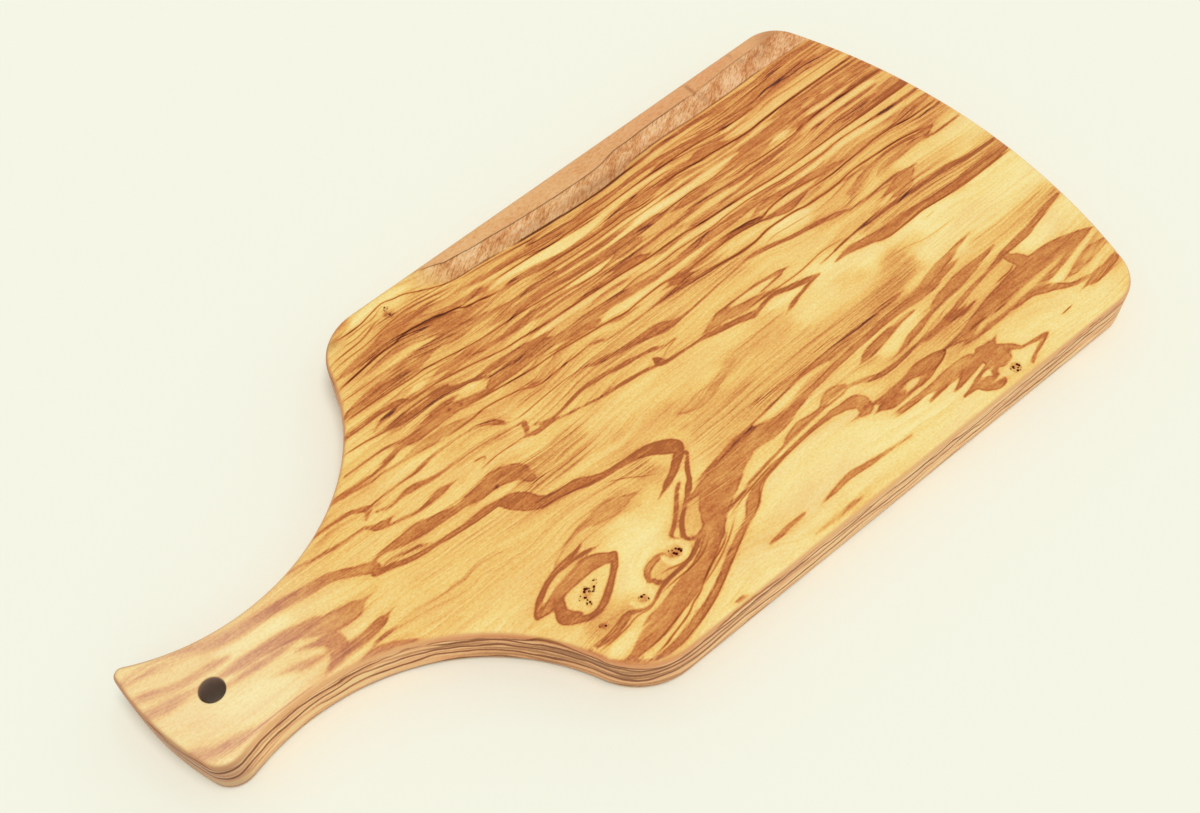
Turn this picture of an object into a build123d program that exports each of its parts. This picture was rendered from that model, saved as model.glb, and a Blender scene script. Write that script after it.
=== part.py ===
"""Paddle charcuterie board, sawn from one piece of olive wood.

Millimetres. The board lies face up on Z = 0 and +Z points up. The origin is the middle of its
footprint. +X runs from the handle to the crowned far end, and +Y is the board's left side as
seen from the handle. Stations are distances along X from the tip of the handle.
"""
from build123d import *
import math
import os

# Whole board
overall_length = 400.0
board_thickness = 19.0

# Body: a plank that widens a little from the shoulders to the far corners
shoulder_station = 140.0
left_shoulder_half_width = 94.5
right_shoulder_half_width = 92.0
left_far_half_width = 100.3
right_far_half_width = 100.4
far_crown_height = 20.5
left_far_corner_radius = 17.0
right_far_corner_radius = 19.0
left_shoulder_radius = 23.5
right_shoulder_radius = 27.0

# Neck and handle: one round sweep on each side, sawn by hand, so the two differ slightly
left_waist_station = 44.5
right_waist_station = 40.0
left_waist_half_width = 18.0
right_waist_half_width = 21.0
left_sweep_radius = 82.0
right_sweep_radius = 89.0

# Tip of the handle: a shallow arc whose crown lies left of the centre line
tip_radius = 109.0
tip_crown_offset = 18.0
left_tip_corner_radius = 3.0
right_tip_corner_radius = 9.0

# Hanging hole
hole_diameter = 9.0
hole_station = 22.0
hole_offset = 1.0
hole_edge_radius = 0.6

# Sanded edges
face_edge_radius = 2.5
underside_edge_radius = 2.0


def along(station):
    """X of a point at this distance from the tip of the handle."""
    return station - overall_length / 2


def side_half_width(station, shoulder_half_width, far_half_width):
    """Half width, at a station, of a side that runs straight through shoulder and far corner."""
    run = far_station - shoulder_station
    return shoulder_half_width + (far_half_width - shoulder_half_width) * (station - shoulder_station) / run


far_station = overall_length - far_crown_height
tip_centre = (along(tip_radius), tip_crown_offset)

# The tip's arc is drawn until it is well inside both sweeps, which trim it to the handle's width
tip_reach = left_waist_half_width + left_sweep_radius / 2
tip_half_angle = math.degrees(math.asin(tip_reach / tip_radius))

left_waist_side = side_half_width(left_waist_station, left_shoulder_half_width, left_far_half_width)
right_waist_side = side_half_width(right_waist_station, right_shoulder_half_width, right_far_half_width)

# Where each sharp corner of the sawn outline lies, roughly, and the radius that rounds it
rounded_corners = [
    (0, left_waist_half_width, left_tip_corner_radius),
    (0, -right_waist_half_width, right_tip_corner_radius),
    (left_waist_station + left_sweep_radius, left_shoulder_half_width, left_shoulder_radius),
    (right_waist_station + right_sweep_radius, -right_shoulder_half_width, right_shoulder_radius),
    (far_station, left_far_half_width, left_far_corner_radius),
    (far_station, -right_far_half_width, right_far_corner_radius),
]

with BuildPart() as board:
    with BuildSketch(Plane.XY) as outline:
        with BuildLine():
            tip = CenterArc(tip_centre, tip_radius, 180 - tip_half_angle, 2 * tip_half_angle)
            left_side = Polyline(
                tip @ 0,
                (along(left_waist_station), left_waist_side),
                (along(far_station), left_far_half_width),
            )
            far_end = ThreePointArc(
                (along(far_station), left_far_half_width),
                (along(overall_length), 0),
                (along(far_station), -right_far_half_width),
            )
            right_side = Polyline(
                far_end @ 1,
                (along(right_waist_station), -right_waist_side),
                tip @ 1,
            )
        make_face()
        with Locations((along(left_waist_station), left_waist_half_width + left_sweep_radius)):
            Circle(left_sweep_radius, mode=Mode.SUBTRACT)
        with Locations((along(right_waist_station), -right_waist_half_width - right_sweep_radius)):
            Circle(right_sweep_radius, mode=Mode.SUBTRACT)
        for station, side, radius in rounded_corners:
            corner = outline.vertices().sort_by_distance((along(station), side))[0]
            fillet(corner, radius)
    extrude(amount=board_thickness)

    face_rim = board.faces().sort_by(Axis.Z)[-1].outer_wire().edges()
    fillet(face_rim, face_edge_radius)
    underside_rim = board.faces().sort_by(Axis.Z)[0].outer_wire().edges()
    fillet(underside_rim, underside_edge_radius)

    with Locations((along(hole_station), hole_offset, board_thickness)):
        Hole(hole_diameter / 2)
    hole_rims = board.edges().filter_by(GeomType.CIRCLE).filter_by(
        lambda edge: edge.is_closed and math.isclose(edge.radius, hole_diameter / 2)
    )
    fillet(hole_rims, hole_edge_radius)

board.part.label = "olive_wood_board"

os.makedirs("parts", exist_ok=True)
export_step(board.part, "parts/olive_wood_board.step")
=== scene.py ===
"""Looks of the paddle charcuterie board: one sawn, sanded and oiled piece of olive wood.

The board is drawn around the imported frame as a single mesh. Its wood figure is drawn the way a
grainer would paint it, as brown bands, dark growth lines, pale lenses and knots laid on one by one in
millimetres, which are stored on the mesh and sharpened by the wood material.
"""
import math

import bpy
import numpy as np
from mathutils import Matrix, Vector
from mathutils.geometry import delaunay_2d_cdt
from mathutils.kdtree import KDTree


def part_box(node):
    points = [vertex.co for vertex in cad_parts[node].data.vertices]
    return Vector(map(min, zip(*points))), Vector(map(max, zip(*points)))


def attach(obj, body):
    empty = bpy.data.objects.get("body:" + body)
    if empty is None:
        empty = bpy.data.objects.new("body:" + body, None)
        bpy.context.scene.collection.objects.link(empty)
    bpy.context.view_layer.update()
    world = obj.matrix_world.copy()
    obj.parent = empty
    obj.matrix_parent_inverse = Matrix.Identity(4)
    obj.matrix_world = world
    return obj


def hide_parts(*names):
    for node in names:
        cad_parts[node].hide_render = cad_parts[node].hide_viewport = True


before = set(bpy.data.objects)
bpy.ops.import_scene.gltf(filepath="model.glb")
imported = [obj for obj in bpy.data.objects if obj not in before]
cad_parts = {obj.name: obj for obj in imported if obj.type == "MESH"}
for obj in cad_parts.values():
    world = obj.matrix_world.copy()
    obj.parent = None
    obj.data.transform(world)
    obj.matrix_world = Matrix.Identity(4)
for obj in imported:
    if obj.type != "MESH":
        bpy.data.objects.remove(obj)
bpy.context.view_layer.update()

bl_info = {
    "name": "Paddle charcuterie board",
    "version": (1, 0, 0),
    "blender": (4, 5, 0),
    "location": "View3D > Sidebar > Board",
    "description": "Makes an olive wood serving board with a handle, and a plain stage for it",
    "category": "Add Mesh",
}

BOARD_NODE = "olive_wood_board"
MM = 0.001


def colour(hex_text):
    """An sRGB hex value as linear red, green and blue."""
    channels = [int(hex_text[i:i + 2], 16) / 255 for i in (1, 3, 5)]
    return tuple(c / 12.92 if c <= 0.04045 else ((c + 0.055) / 1.055) ** 2.4 for c in channels)

# ---------------------------------------------------------------------------------------------
# The wood figure of the face, in millimetres. X runs from the handle's tip (-200) to
# the far end (200) and Y to the left, seen from the handle.

# Brown bands: how dark the band is, from 0 (amber) to 1 (nearly black), then the points of its
# middle line with its half width there.
BANDS = [
    # Handle
    (.34, (-201, 22.6, 1.2), (-190, 21, 1.2), (-182, 19.2, 1.1), (-175, 17, 1.3), (-169, 14.5, 1.9),
     (-162, 12.6, 2.1), (-155, 11.9, 2), (-148, 11.2, 1.9)),
    (.5, (-152, 11.6, 1.6), (-145, 10.8, 1.9), (-135, 9.3, 1.9), (-127, 8.2, 1.9), (-119, 4.4, 1.9),
     (-113, 1, 2.4)),
    (.45, (-201, 15.2, 1), (-194, 12.8, 1.2), (-189, 11, .9), (-184, 9.6, .7), (-179, 8.8, .7),
     (-175, 8.4, 1), (-171, 7.6, .9), (-168, 7, .3)),
    (.28, (-201, 8.8, .8), (-195, 6.6, 1.6), (-190, 5.6, 1.8), (-185, 5, .8)),
    (.4, (-174, 3, .8), (-168, 2.2, 1.7), (-161, 1.6, 2), (-155, 1.2, 2), (-150, .2, 2.4),
     (-145, -1.4, 2.6), (-139, -2.6, 2.4)),
    (.3, (-170, -1.4, .5), (-163, -2.2, 1), (-156, -2.9, 1), (-150, -3.4, .6)),
    (.46, (-144, -3, 2.2), (-138, -5, 3.2), (-132, -6.6, 3.6), (-127, -7, 3), (-122, -6.6, 1)),
    (.48, (-144, -8.6, 1.6), (-139.5, -10.5, 3), (-139, -14, 3.6), (-141, -17, 2.4), (-146, -19, .9)),
    (.52, (-137, -17.3, 1.8), (-130, -17.5, 2), (-124, -16.8, 1.9), (-119, -15.8, .7)),
    (.3, (-158, -9.5, .4), (-151, -12, 1.4), (-145, -13.5, 1.2)),
    (.5, (-130, -21.8, .9), (-126, -21.3, .8), (-121, -21.6, .5)),
    (.55, (-136, -23.2, .4), (-132, -23.6, 1), (-128, -24.8, 1.2), (-124, -26.2, .9), (-118, -30, .5)),
    (.3, (-201, -9, .8), (-196, -13, 1.5), (-190, -16.6, 1.7), (-183, -18.8, 1.5), (-175, -19.8, .8)),
    (.5, (-136, 19, .3), (-130, 18.2, .4), (-118, 16.1, .7), (-107, 15.6, .6), (-105, 14.5, .8),
     (-103, 13, 1.4), (-100, 12, 1.7), (-97.5, 12.5, .7)),
    (.5, (-122, 24.3, .3), (-112, 24.3, .7), (-107, 23.8, .9), (-104, 22.5, .8), (-101, 21.2, 1.2),
     (-98, 20.3, .4)),
    (.5, (-102, 20.5, .9), (-101.5, 19.5, .8), (-104, 17.8, .3)),
    # Left of the shoulder, above the middle
    (.5, (-76, 72.4, .8), (-70, 73, 1.4), (-65, 73.5, 1.8), (-60, 74, 2.2), (-55, 74.6, 2.7),
     (-50, 75.6, 3.2), (-45, 76.2, 3.6), (-40, 76.6, 3.3), (-36, 76.8, 2.2), (-33, 77, .8)),
    (.5, (-38, 74.2, 1.8), (-33, 73, 1.2), (-28, 71.5, 1.2), (-24, 70.8, 1), (-18, 70.5, .8),
     (-10, 69.5, .8)),
    (.55, (-70, 67, .6), (-65, 67.3, .7), (-60, 68, 1), (-55, 68.3, 1.4), (-50, 69, 2), (-45, 69.5, 2.6),
     (-40, 69, 3.2), (-35, 67, 4), (-30, 65.5, 4), (-25, 65, 3), (-21, 64.5, 2.2), (-17, 64.2, 1.2),
     (-12, 63.5, .6)),
    (.5, (-60, 61.5, .5), (-50, 61.8, 1.1), (-45, 61.2, 1.4), (-40, 60.8, 1.8), (-35, 60, 2.5),
     (-30, 59.5, 3), (-25, 59.3, 2.2), (-20, 58.6, 1.8), (-10, 57.8, 1.2)),
    (.52, (-86, 56.6, .8), (-82, 57, 1.4), (-78, 57.8, 1.9), (-73, 58.2, 2.4), (-68, 58.3, 2.6),
     (-63, 58.4, 2.7), (-58, 58.2, 2.6), (-53, 58, 2.3), (-48, 58.3, 1.6), (-44, 58.8, 1), (-40, 59, .5)),
    (.6, (-90, 50, .7), (-84, 49.8, .8), (-80, 50, .8), (-76, 50.2, .7), (-72, 50, .8), (-68, 49.6, 1.2),
     (-65, 49, 1.4), (-63, 48.2, .8)),
    (.55, (-78, 45.8, .4), (-75, 47, .6), (-71, 47.3, .9), (-68, 48, .8)),
    (.5, (-50, 49.5, .5), (-45, 50, 1.1), (-40, 49.5, 1.3), (-30, 49.4, 1.5), (-27, 49.5, 1)),
    (.5, (-48, 47, .4), (-44, 47.2, .6), (-32, 47, .8), (-20, 46.5, .9), (-14, 46.8, 1), (-8, 47, 1.2)),
    (.5, (-80, 43.3, .4), (-75, 43.1, .5), (-71, 43.2, .6), (-68, 43.8, .5), (-65, 44.2, .3),
     (-56, 44.3, .3), (-52, 44.2, .3), (-48, 43, .3)),
    (.72, (-76, 42.1, .5), (-72, 41.8, .9), (-67, 41.7, 1.2), (-62, 41.8, 1.2), (-57, 41.9, 1.4),
     (-53, 42, 1.6), (-49, 41.3, 1.5), (-46, 40.3, 1.2), (-43, 39.4, .9), (-40, 38.7, .7), (-37, 37.2, .8),
     (-34, 36, 1.2)),
    (.6, (-100, 36.8, .3), (-84, 36.8, .5), (-80, 36.3, .7), (-76, 35.4, .5), (-70, 35, .5),
     (-66, 35.6, .6), (-62, 36.3, .9), (-58, 36.6, 1.3), (-53, 36.8, 1.2), (-49, 37, .6)),
    (.55, (-85, 32.5, .5), (-80, 33, .8), (-76, 33.4, 1), (-72, 33, 1.6), (-67, 33, 2), (-57, 33.2, 2),
     (-52, 33.4, 2.2), (-48, 32.6, 1.8), (-44, 32, 1.2), (-40, 31.3, 1), (-36, 31, .8)),
    (.55, (-36, 32, 1.6), (-32, 33, 2.6), (-27, 33, 3), (-22, 33, 3.1), (-17, 33, 2.8), (-12, 33, 2.6),
     (-8, 32.5, 2.4), (0, 30.8, 2.2), (8, 31, 2.4), (15, 31, 2.2), (22, 30.8, 2), (28, 30.3, 1.9),
     (34, 29.6, 1.6), (40, 28.9, 1.4), (54, 28.6, 1.4), (62, 28.8, 1.8), (70, 29, 2), (85, 29, 1.8),
     (95, 29.5, 1.8), (105, 29.5, 1.5), (115, 29.2, 1), (125, 28.8, .6), (145, 28.8, .3)),
    (.5, (-36, 38.5, .8), (-32, 38.5, 1.4), (-27, 38, 1.6), (-22, 37.5, 1.6), (-17, 37, 1.6),
     (-10, 36.6, 1.2), (-4, 36.4, .4)),
    (.6, (-110, 31, .9), (-105, 31, .9), (-100, 30.7, .8), (-95, 30.8, .5), (-90, 30.7, .4),
     (-81, 31.8, .3)),
    (.55, (-105, 30.2, .4), (-95, 29, .4), (-85, 28.5, .3), (-75, 27.6, .4), (-67, 26.4, .7),
     (-64, 25.2, .5)),
    (.3, (-78, 28.8, .6), (-72, 28.8, 1.2), (-66, 28.5, 1.6), (-60, 27.5, 2), (-55, 26.8, 1.6),
     (-50, 26, .8)),
    # Left, in the middle
    (.6, (-98, 21.3, .3), (-86, 21.5, .4), (-80, 21.3, .7), (-76, 22, .8), (-72, 22.6, .8), (-68, 22.9, .6),
     (-60, 22.7, .4), (-52, 21.6, .3), (-49, 20.8, .7), (-46.5, 19.7, 1.2), (-44.5, 18, 1.2), (-43, 16, .7),
     (-41.5, 15, .3)),
    (.65, (-100, 18, .3), (-97, 16.9, .5), (-94, 16.3, .7), (-90, 16.8, .6), (-87, 17, 1), (-84, 16.8, 1.3),
     (-81, 16.2, 1.2), (-78, 15.5, .9), (-74, 15.1, .5), (-70, 14.9, .3), (-60, 14.6, .25), (-50, 13.5, .3),
     (-40, 12, .4), (-37, 11.3, .6)),
    (.75, (-37.5, 12, .7), (-38, 10.8, 1), (-38.5, 9, 1.2), (-39.5, 7.5, 1)),
    (.6, (-99, 10.7, .5), (-95, 9.5, .5), (-90, 8.5, .6), (-86, 8.2, .6), (-83, 8.6, 1), (-80, 9, 1.4),
     (-77, 9.3, 1.6), (-74, 9.3, .9)),
    (.65, (-42, 6.7, .6), (-39, 6, .9), (-36, 5.2, 1), (-33, 5, .9), (-30, 5, .8), (-26, 4.2, .5),
     (-18, 2.5, .3), (-10, 1, .3), (-8, .6, .4), (-2, .2, .6), (3, -.3, .8), (7, -.9, .7), (11, -1.6, .6),
     (15, -2.5, .6)),
    (.6, (-35, 8, .6), (-32, 6.5, .8), (-29, 6, .5), (-25, 6.2, .4), (-17, 7.6, .6), (-10, 8.1, .8),
     (-5, 7.8, .8), (0, 7.2, .9), (5, 6.3, .9), (9, 5.8, .8), (13, 5, .7), (17, 4.4, .7), (20, 3.6, 1),
     (22, 2.9, .6)),
    (.6, (-112, 2.8, .6), (-108, 3.6, .8), (-104, 3.2, 1.4), (-100, 2.8, 2), (-96, 2.6, 2.6),
     (-92, 2.3, 2.9), (-88, 1.6, 2.6), (-84, .9, 2.2), (-80, .2, 1.6), (-76, -.3, 1.3), (-72, -.4, 2.2),
     (-68, -.4, 2.5), (-64, 0, 2.8), (-60, 0, 3.4), (-56, -1, 3.6), (-53, -2.5, 3.6), (-51.5, -4.5, 3),
     (-51, -7, 2.2), (-50, -9, .8)),
    (.6, (-110, -.3, .3), (-105, -.7, .4), (-100, -2, .7), (-96, -3.3, .7), (-93, -4.5, .4)),
    (.66, (-114, -1, 1.4), (-110, -2.3, 1.2), (-106, -3.4, 1.1), (-102, -4.7, 1), (-98, -5.4, 1),
     (-90, -6.2, .9), (-85, -6.9, 1), (-80, -7.3, 1.2), (-72, -7.5, 1.5), (-68, -7.6, 1.3),
     (-65, -8.3, 1.2), (-64, -9.5, 2.2), (-61, -11.5, 3.6), (-58, -14.5, 3.8), (-55.5, -17, 2.8),
     (-52, -18.5, 1.8), (-48, -19.2, 1.5), (-44, -20, 1.8), (-40, -21, 2.2), (-36, -22.8, 1.8),
     (-32, -24.2, 1.2), (-28, -24.9, 1.1), (-24, -25.3, 1.2), (-20, -25.8, 1.4), (-16, -26.3, 1.8)),
    (.8, (-18, -26, 1.5), (-12, -27.8, 2.3), (-8, -30, 3), (-4.5, -32.5, 3), (-4, -34.5, 1.6),
     (-6, -36, 1.8), (-9, -38, 1.6), (-13, -40.3, 1.3), (-17, -42, 1.2), (-21, -43.5, .8)),
    (.9, (-2, -33, .4), (-3, -37.5, .5), (-6, -40.4, .7), (-8.8, -43.8, .8), (-10.4, -46.2, .9),
     (-12.5, -48, 1.2), (-15, -50, .9), (-19.4, -53, .7), (-24, -56.4, .8), (-26.3, -59.4, .8),
     (-27.5, -62, .6)),
    (.62, (-30.2, -60.4, .4), (-30.6, -58, .7), (-28, -56.4, .7), (-25, -54.2, .8), (-21.7, -51.4, .8),
     (-17.2, -46.9, .7), (-13.5, -44.3, .5)),
    (.3, (-67, -39.4, .3), (-62, -37.4, .5), (-57, -35.8, .7), (-52, -34.8, 1.1), (-48, -35, 1.8),
     (-43, -35.6, 2.8), (-38, -36, 3.2), (-34, -36.5, 2.8), (-30, -37, 1.5)),
    # Eye knot
    (.8, (-84, -50.3, 1.2), (-81.5, -47.8, 1.3), (-78, -45.2, 1.1), (-74, -43.2, .9), (-70, -42, 1),
     (-66, -41.3, 1.1), (-62, -41, 1), (-58, -40.4, .6), (-55, -39.6, .3)),
    (.7, (-67, -42.6, .3), (-62, -42.4, .5), (-58, -42.6, .7), (-55, -43.2, .8), (-53, -43.6, .4)),
    (.52, (-83, -50.8, .8), (-80, -50.4, 1.6), (-76, -49.4, 2.1), (-72, -48.2, 2.4), (-67, -47.2, 2.9),
     (-62, -46.8, 3.1), (-57, -47.4, 2.9), (-53, -49, 2.3), (-50.5, -50.6, 1.5)),
    (.55, (-77, -51, 1.2), (-76.5, -54, 1.6), (-75.5, -57, 1.6), (-73, -59, 1.2)),
    (.72, (-49.5, -50, 1.2), (-52, -53, 1.3), (-56, -56, 1.2), (-60, -58.8, 1.2), (-64, -61, 1.2),
     (-68, -62.3, 1.1), (-72, -61.5, 1.2), (-76, -59, 1.6), (-78.5, -57, 1.6), (-78, -54.5, 1.5),
     (-76, -52.5, 2), (-75, -50.5, 1.8)),
    # Between the eye knot and the near edge
    (.55, (-48, -65.5, .8), (-46.5, -63, 1.2), (-44, -61.5, 1.3), (-41, -60.9, 1.2), (-38, -61, .9),
     (-37, -62.2, .4)),
    (.65, (-46.5, -66, .6), (-46, -67.5, 1), (-45, -68.5, .5)),
    (.6, (-61, -69.4, .7), (-58, -70.8, .8), (-54, -71.9, .8), (-50, -71, .7)),
    (.5, (-78.5, -73, .8), (-77.5, -77, 1), (-73.5, -82, 1.1), (-68, -85.6, 1)),
    (.75, (-50, -71.5, .5), (-46, -70, .7), (-42, -69.3, .8), (-32, -68.6, .8), (-28, -67.4, .8),
     (-25, -65.5, .8), (-22, -64.3, .8), (-19, -63, 1), (-17, -61.8, 1.2)),
    (.6, (-28, -60.5, .5), (-27.2, -62.5, .7), (-25, -64.2, .7), (-22, -64, .7), (-19, -63, .8)),
    (.6, (-80, -70.8, .5), (-76, -71.3, .7), (-73, -71.8, 1), (-69, -72, 1), (-65, -70.8, 1.3),
     (-62, -70, 1.3), (-60, -69.5, .8)),
    (.46, (-74, -81.2, .8), (-70, -81.8, 1.4), (-65, -81, 2.4), (-61, -80, 3.4), (-57, -79, 4),
     (-52, -78, 4), (-47, -77.2, 3.8), (-42, -76, 3.8), (-37, -75, 3.7), (-32, -73.5, 3.2), (-27, -71.5, 3),
     (-22, -69, 3.2), (-18, -66.5, 3.4), (-14, -62, 4.6), (-10, -58.5, 5.6), (-5, -56, 5.6), (0, -54.2, 5),
     (6, -52, 4.2), (12, -50.5, 3.6)),
    (.6, (-13, -58, 1.6), (-9, -56.5, 2.6), (-4, -56, 2.4), (0, -55.5, 1)),
    (.52, (-66, -87, .6), (-62, -88, 1), (-57, -88, 1.3), (-52, -87.5, 1.5), (-42, -85.5, 1.4),
     (-37, -84, 1.3), (-32, -82.3, 1.2), (-27, -80, 1.2), (-22, -77.5, 1.3), (-18, -75.8, 1.3),
     (-11, -72.8, 1.1), (-7, -71.3, 1.1), (-4, -69.8, 1.6), (-1, -68, 2.4), (2, -66, 2), (5, -64.3, 1.2),
     (9, -63, .9), (14, -62.2, .8), (26, -61, .6), (38, -60.6, .7), (44, -60.8, .9), (48, -61.5, 1),
     (51, -62.5, .9)),
    (.65, (-25, -72, .4), (-20, -70, .8), (-17, -69, 1.2), (-15, -67, 1)),
    (.35, (-32, -90.8, .3), (-29, -91, .5), (-27, -91.3, .3)),
    # Upper middle
    (.5, (-15, 74.8, .5), (-8, 74, .9), (0, 73.8, .8), (8, 73.5, 1.2), (15, 73.2, 1.4), (22, 72.6, 1.5),
     (34, 71.6, 1.6), (40, 71, 1), (46, 71.8, 1.1), (54, 71.8, 1), (62, 72, .8), (70, 72.6, .8),
     (85, 73, .9), (95, 72.5, .8), (105, 71.6, .8), (115, 71.2, .6), (130, 71, .6), (140, 71.8, .8),
     (145, 72.7, 1.3), (155, 73.4, 1.4), (165, 73.4, 1.1), (175, 73.8, .6), (187, 74.2, .4)),
    (.5, (10, 68.8, .6), (25, 68.8, .6), (50, 68.8, .6)),
    (.45, (-15, 69, 1.3), (-10, 68.7, 1), (-7, 69, .4)),
    (.52, (-5, 64, .6), (0, 64, 1.2), (5, 63.9, 1.3), (10, 63.2, 1.6), (15, 62.6, 1.6), (20, 62.2, 1.2),
     (26, 61.8, 1), (38, 61.2, .9), (44, 60.9, .8)),
    (.5, (45, 60.6, .4), (49, 61.5, 1), (54, 62.2, 1.8), (58, 62.4, 2), (68, 62.8, 2), (73, 62.8, 1.8),
     (77, 62.7, 1.4), (85, 63.4, 1.3), (90, 63.3, 1.6), (95, 62.6, 1.2), (100, 63.2, 2), (105, 63.8, 2.6),
     (110, 63.4, 2.6), (115, 62.4, 2), (118, 61.2, 1)),
    (.5, (0, 56.5, .6), (5, 56.6, 1.2), (10, 56.2, 1.2), (20, 55.4, 1.2), (30, 54.8, 1), (40, 54.5, .8),
     (52, 54.7, .4)),
    (.5, (-15, 53.2, 1.5), (-8, 53, 1.8), (0, 52.7, 1.8), (15, 52, 1.8), (22, 51.3, 1.8), (34, 50.6, 1.9),
     (46, 50, 1.9), (58, 50.2, 1.8), (64, 50.3, 1.6), (70, 50, 1)),
    (.5, (-15, 47.3, .9), (-8, 47, 1.2), (0, 46.8, 1.1), (6, 46.3, .9), (12, 46.3, .7), (24, 45.3, .4)),
    (.5, (37, 46, .6), (41, 46.2, 2), (46, 46.4, 2.3), (51, 46.5, 1.6), (54, 46.6, .4)),
    (.48, (-15, 45.2, .3), (-8, 44.9, .5), (0, 44.5, .9), (14, 43.9, .7), (26, 43.6, .7), (32, 43, .9),
     (37, 42.6, 1.1), (45, 42.7, .8), (60, 43, .6), (75, 43, .8), (80, 43.3, 1), (85, 43.8, .8),
     (95, 43.2, .7), (100, 42.5, .9), (105, 42, 1), (115, 41.8, 1), (120, 42, .8), (130, 42.3, .4),
     (150, 42, .4), (165, 42, .6), (178, 41.7, .6), (186, 42, .3)),
    (.5, (-15, 41, .4), (-8, 40.3, .6), (0, 40, .6), (10, 39.6, .4), (20, 40.4, .6), (28, 39.9, 1),
     (34, 39.8, 1.4), (40, 39.6, 1.8), (45, 39.2, 1.6), (50, 38.6, .6)),
    (.45, (52, 36.3, .8), (56, 36.2, 1.2), (61, 36.3, .9), (66, 36.8, .4)),
    (.45, (70, 38, .8), (78, 38, 1.3), (85, 38.2, 1), (95, 38.4, .6), (105, 38.7, .6), (110, 39.2, 1),
     (115, 39.4, 1.3), (120, 39, 1), (125, 38.3, .6), (135, 37, .4), (150, 37, .3), (160, 36.8, .5),
     (175, 37.7, .5), (185, 38.8, .7), (196, 39.8, .8)),
    (.5, (15, 35, .4), (20, 35.5, .7), (26, 35.7, .9), (31, 35.3, .9), (36, 34.7, .4)),
    (.5, (8, 28.5, 1.8), (12, 27, 1.8), (10.5, 25.6, .8)),
    (.6, (15, 24.2, .6), (18, 23.5, 1.2), (22, 23, 1.2), (27, 22.6, .8)),
    (.55, (46, 22.5, 1), (54, 23, 1.3), (58, 23, 1), (65, 23.7, 1), (72, 24.2, 1), (80, 23.7, 1.1),
     (85, 23.2, 1.1), (90, 22.5, 1.1), (94, 21.7, 1.2), (97, 20.5, 1.2), (100, 19.8, 1.3), (104, 18.8, 1.8),
     (108, 18.5, 1.8), (112, 18.8, 1.4), (117, 19.3, .9), (121, 19.6, .6)),
    # Middle
    (.7, (45, 21.5, 1.2), (49, 21, 2.2), (53, 20.8, 2), (56, 20, 1)),
    (.62, (4, 21.3, .6), (7, 20, .7), (9, 19, .5), (12, 18.3, .35), (28, 18.1, .4), (38, 18.8, .8),
     (43, 18.8, 1), (48, 18.3, 1.1), (53, 17.6, 1), (63, 16.4, .8), (73, 15.2, .7), (85, 14.7, .7)),
    (.6, (-5, 14.8, .4), (-2, 13.8, .8), (2, 12.8, 1), (6, 12, 1), (10, 11.4, 1), (15, 11, 1.1),
     (20, 10.4, 1.6), (25, 9.5, 2.3), (29, 8.6, 2.4), (33, 7.8, 1.6), (37, 7.5, .8), (41, 7.6, .6),
     (46, 8, .5), (58, 9.2, .5), (70, 10.3, .4), (76, 10.8, .6), (80, 10.6, 1), (84, 10, 1.2), (88, 9, 1.1),
     (92, 8, .9), (96, 7, .9), (100, 6.3, .9), (104, 5.7, 1), (108, 5, 1.1), (112, 4.3, 1.1),
     (116, 3.3, 1.2), (119, 2.8, 1.1), (122, 2, .7), (126, 1.1, .45), (135, .7, .4), (145, .9, .4),
     (150, .9, .6), (153, .5, .8), (157, 0, .8), (160, -.5, .7), (163, -.6, .3)),
    (.75, (16.5, .4, .8), (17, -1.5, 1.4), (18, -3, 1.4)),
    (.75, (16, -3, .8), (20, -3.8, .8), (25, -4.2, .6), (34, -4.9, .5), (38, -5.3, .9), (42, -6.1, 1.1),
     (46, -6.8, 1.2), (50, -7.8, 1.3), (54, -8.8, 1.4), (58, -10, 1.4), (61, -10, .9), (64, -9.3, .7),
     (68, -8.7, .7), (71, -8.5, .9), (75, -9.5, 1.1), (79, -10.6, 1.2), (83, -11.7, 1.3), (86, -12.5, 1.3),
     (89, -13, .9), (92, -13.3, .3)),
    (.45, (38, -3.8, .5), (42, -3.2, 1.2), (46, -3, 2), (50, -2.5, 2.8), (54, -4.2, 2.4), (58, -5, 2),
     (63, -5.5, 1.5), (68, -6, 1), (73, -6.8, .5)),
    (.6, (50, -.6, .6), (58, -.4, .4), (66, -.5, .4), (73, -1.1, .7), (79, -2, 1.1), (84.5, -2.8, .4)),
    (.5, (81, -2.9, .7), (74, -3.8, .5), (68, -4.4, .3)),
    (.62, (89, -13.4, .6), (83, -14.3, .6), (80, -15, .6), (76, -15.8, .7), (72, -17, 1), (69, -17.8, .5)),
    (.22, (5, -23, .5), (12, -24.5, 2), (17, -24.5, 3), (23, -23.8, 2.2), (30, -22, 1.2), (38, -20.5, .5)),
    (.42, (-10, -48.5, .3), (0, -47.3, .6), (5, -46.5, .8), (10, -45.8, 1), (15, -45, .7), (22, -44.6, .4),
     (38, -43.3, .4), (46, -42.3, .5), (52, -41.8, .7), (58, -41.8, 1.2), (64, -42.3, 1.6), (75, -42, 1.7),
     (85, -42, 2), (92, -43, 1.6), (100, -43.8, 1.2), (105, -44, 1), (115, -44.5, 1.5), (120, -43.8, 2),
     (125, -43, 2), (130, -42, 1.8), (135, -41.3, 1.5), (140, -40.5, 1.1), (148, -39.3, .4)),
    (.48, (-15, -52, 1.4), (-10, -51.5, 2), (-5, -51, 2.2), (0, -50.5, 2.5), (5, -50, 2.8),
     (10, -49.5, 3.2), (15, -49.2, 3.8), (20, -49.5, 4), (25, -50.3, 3.6), (30, -50.8, 3), (35, -50.5, 2.2),
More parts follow.
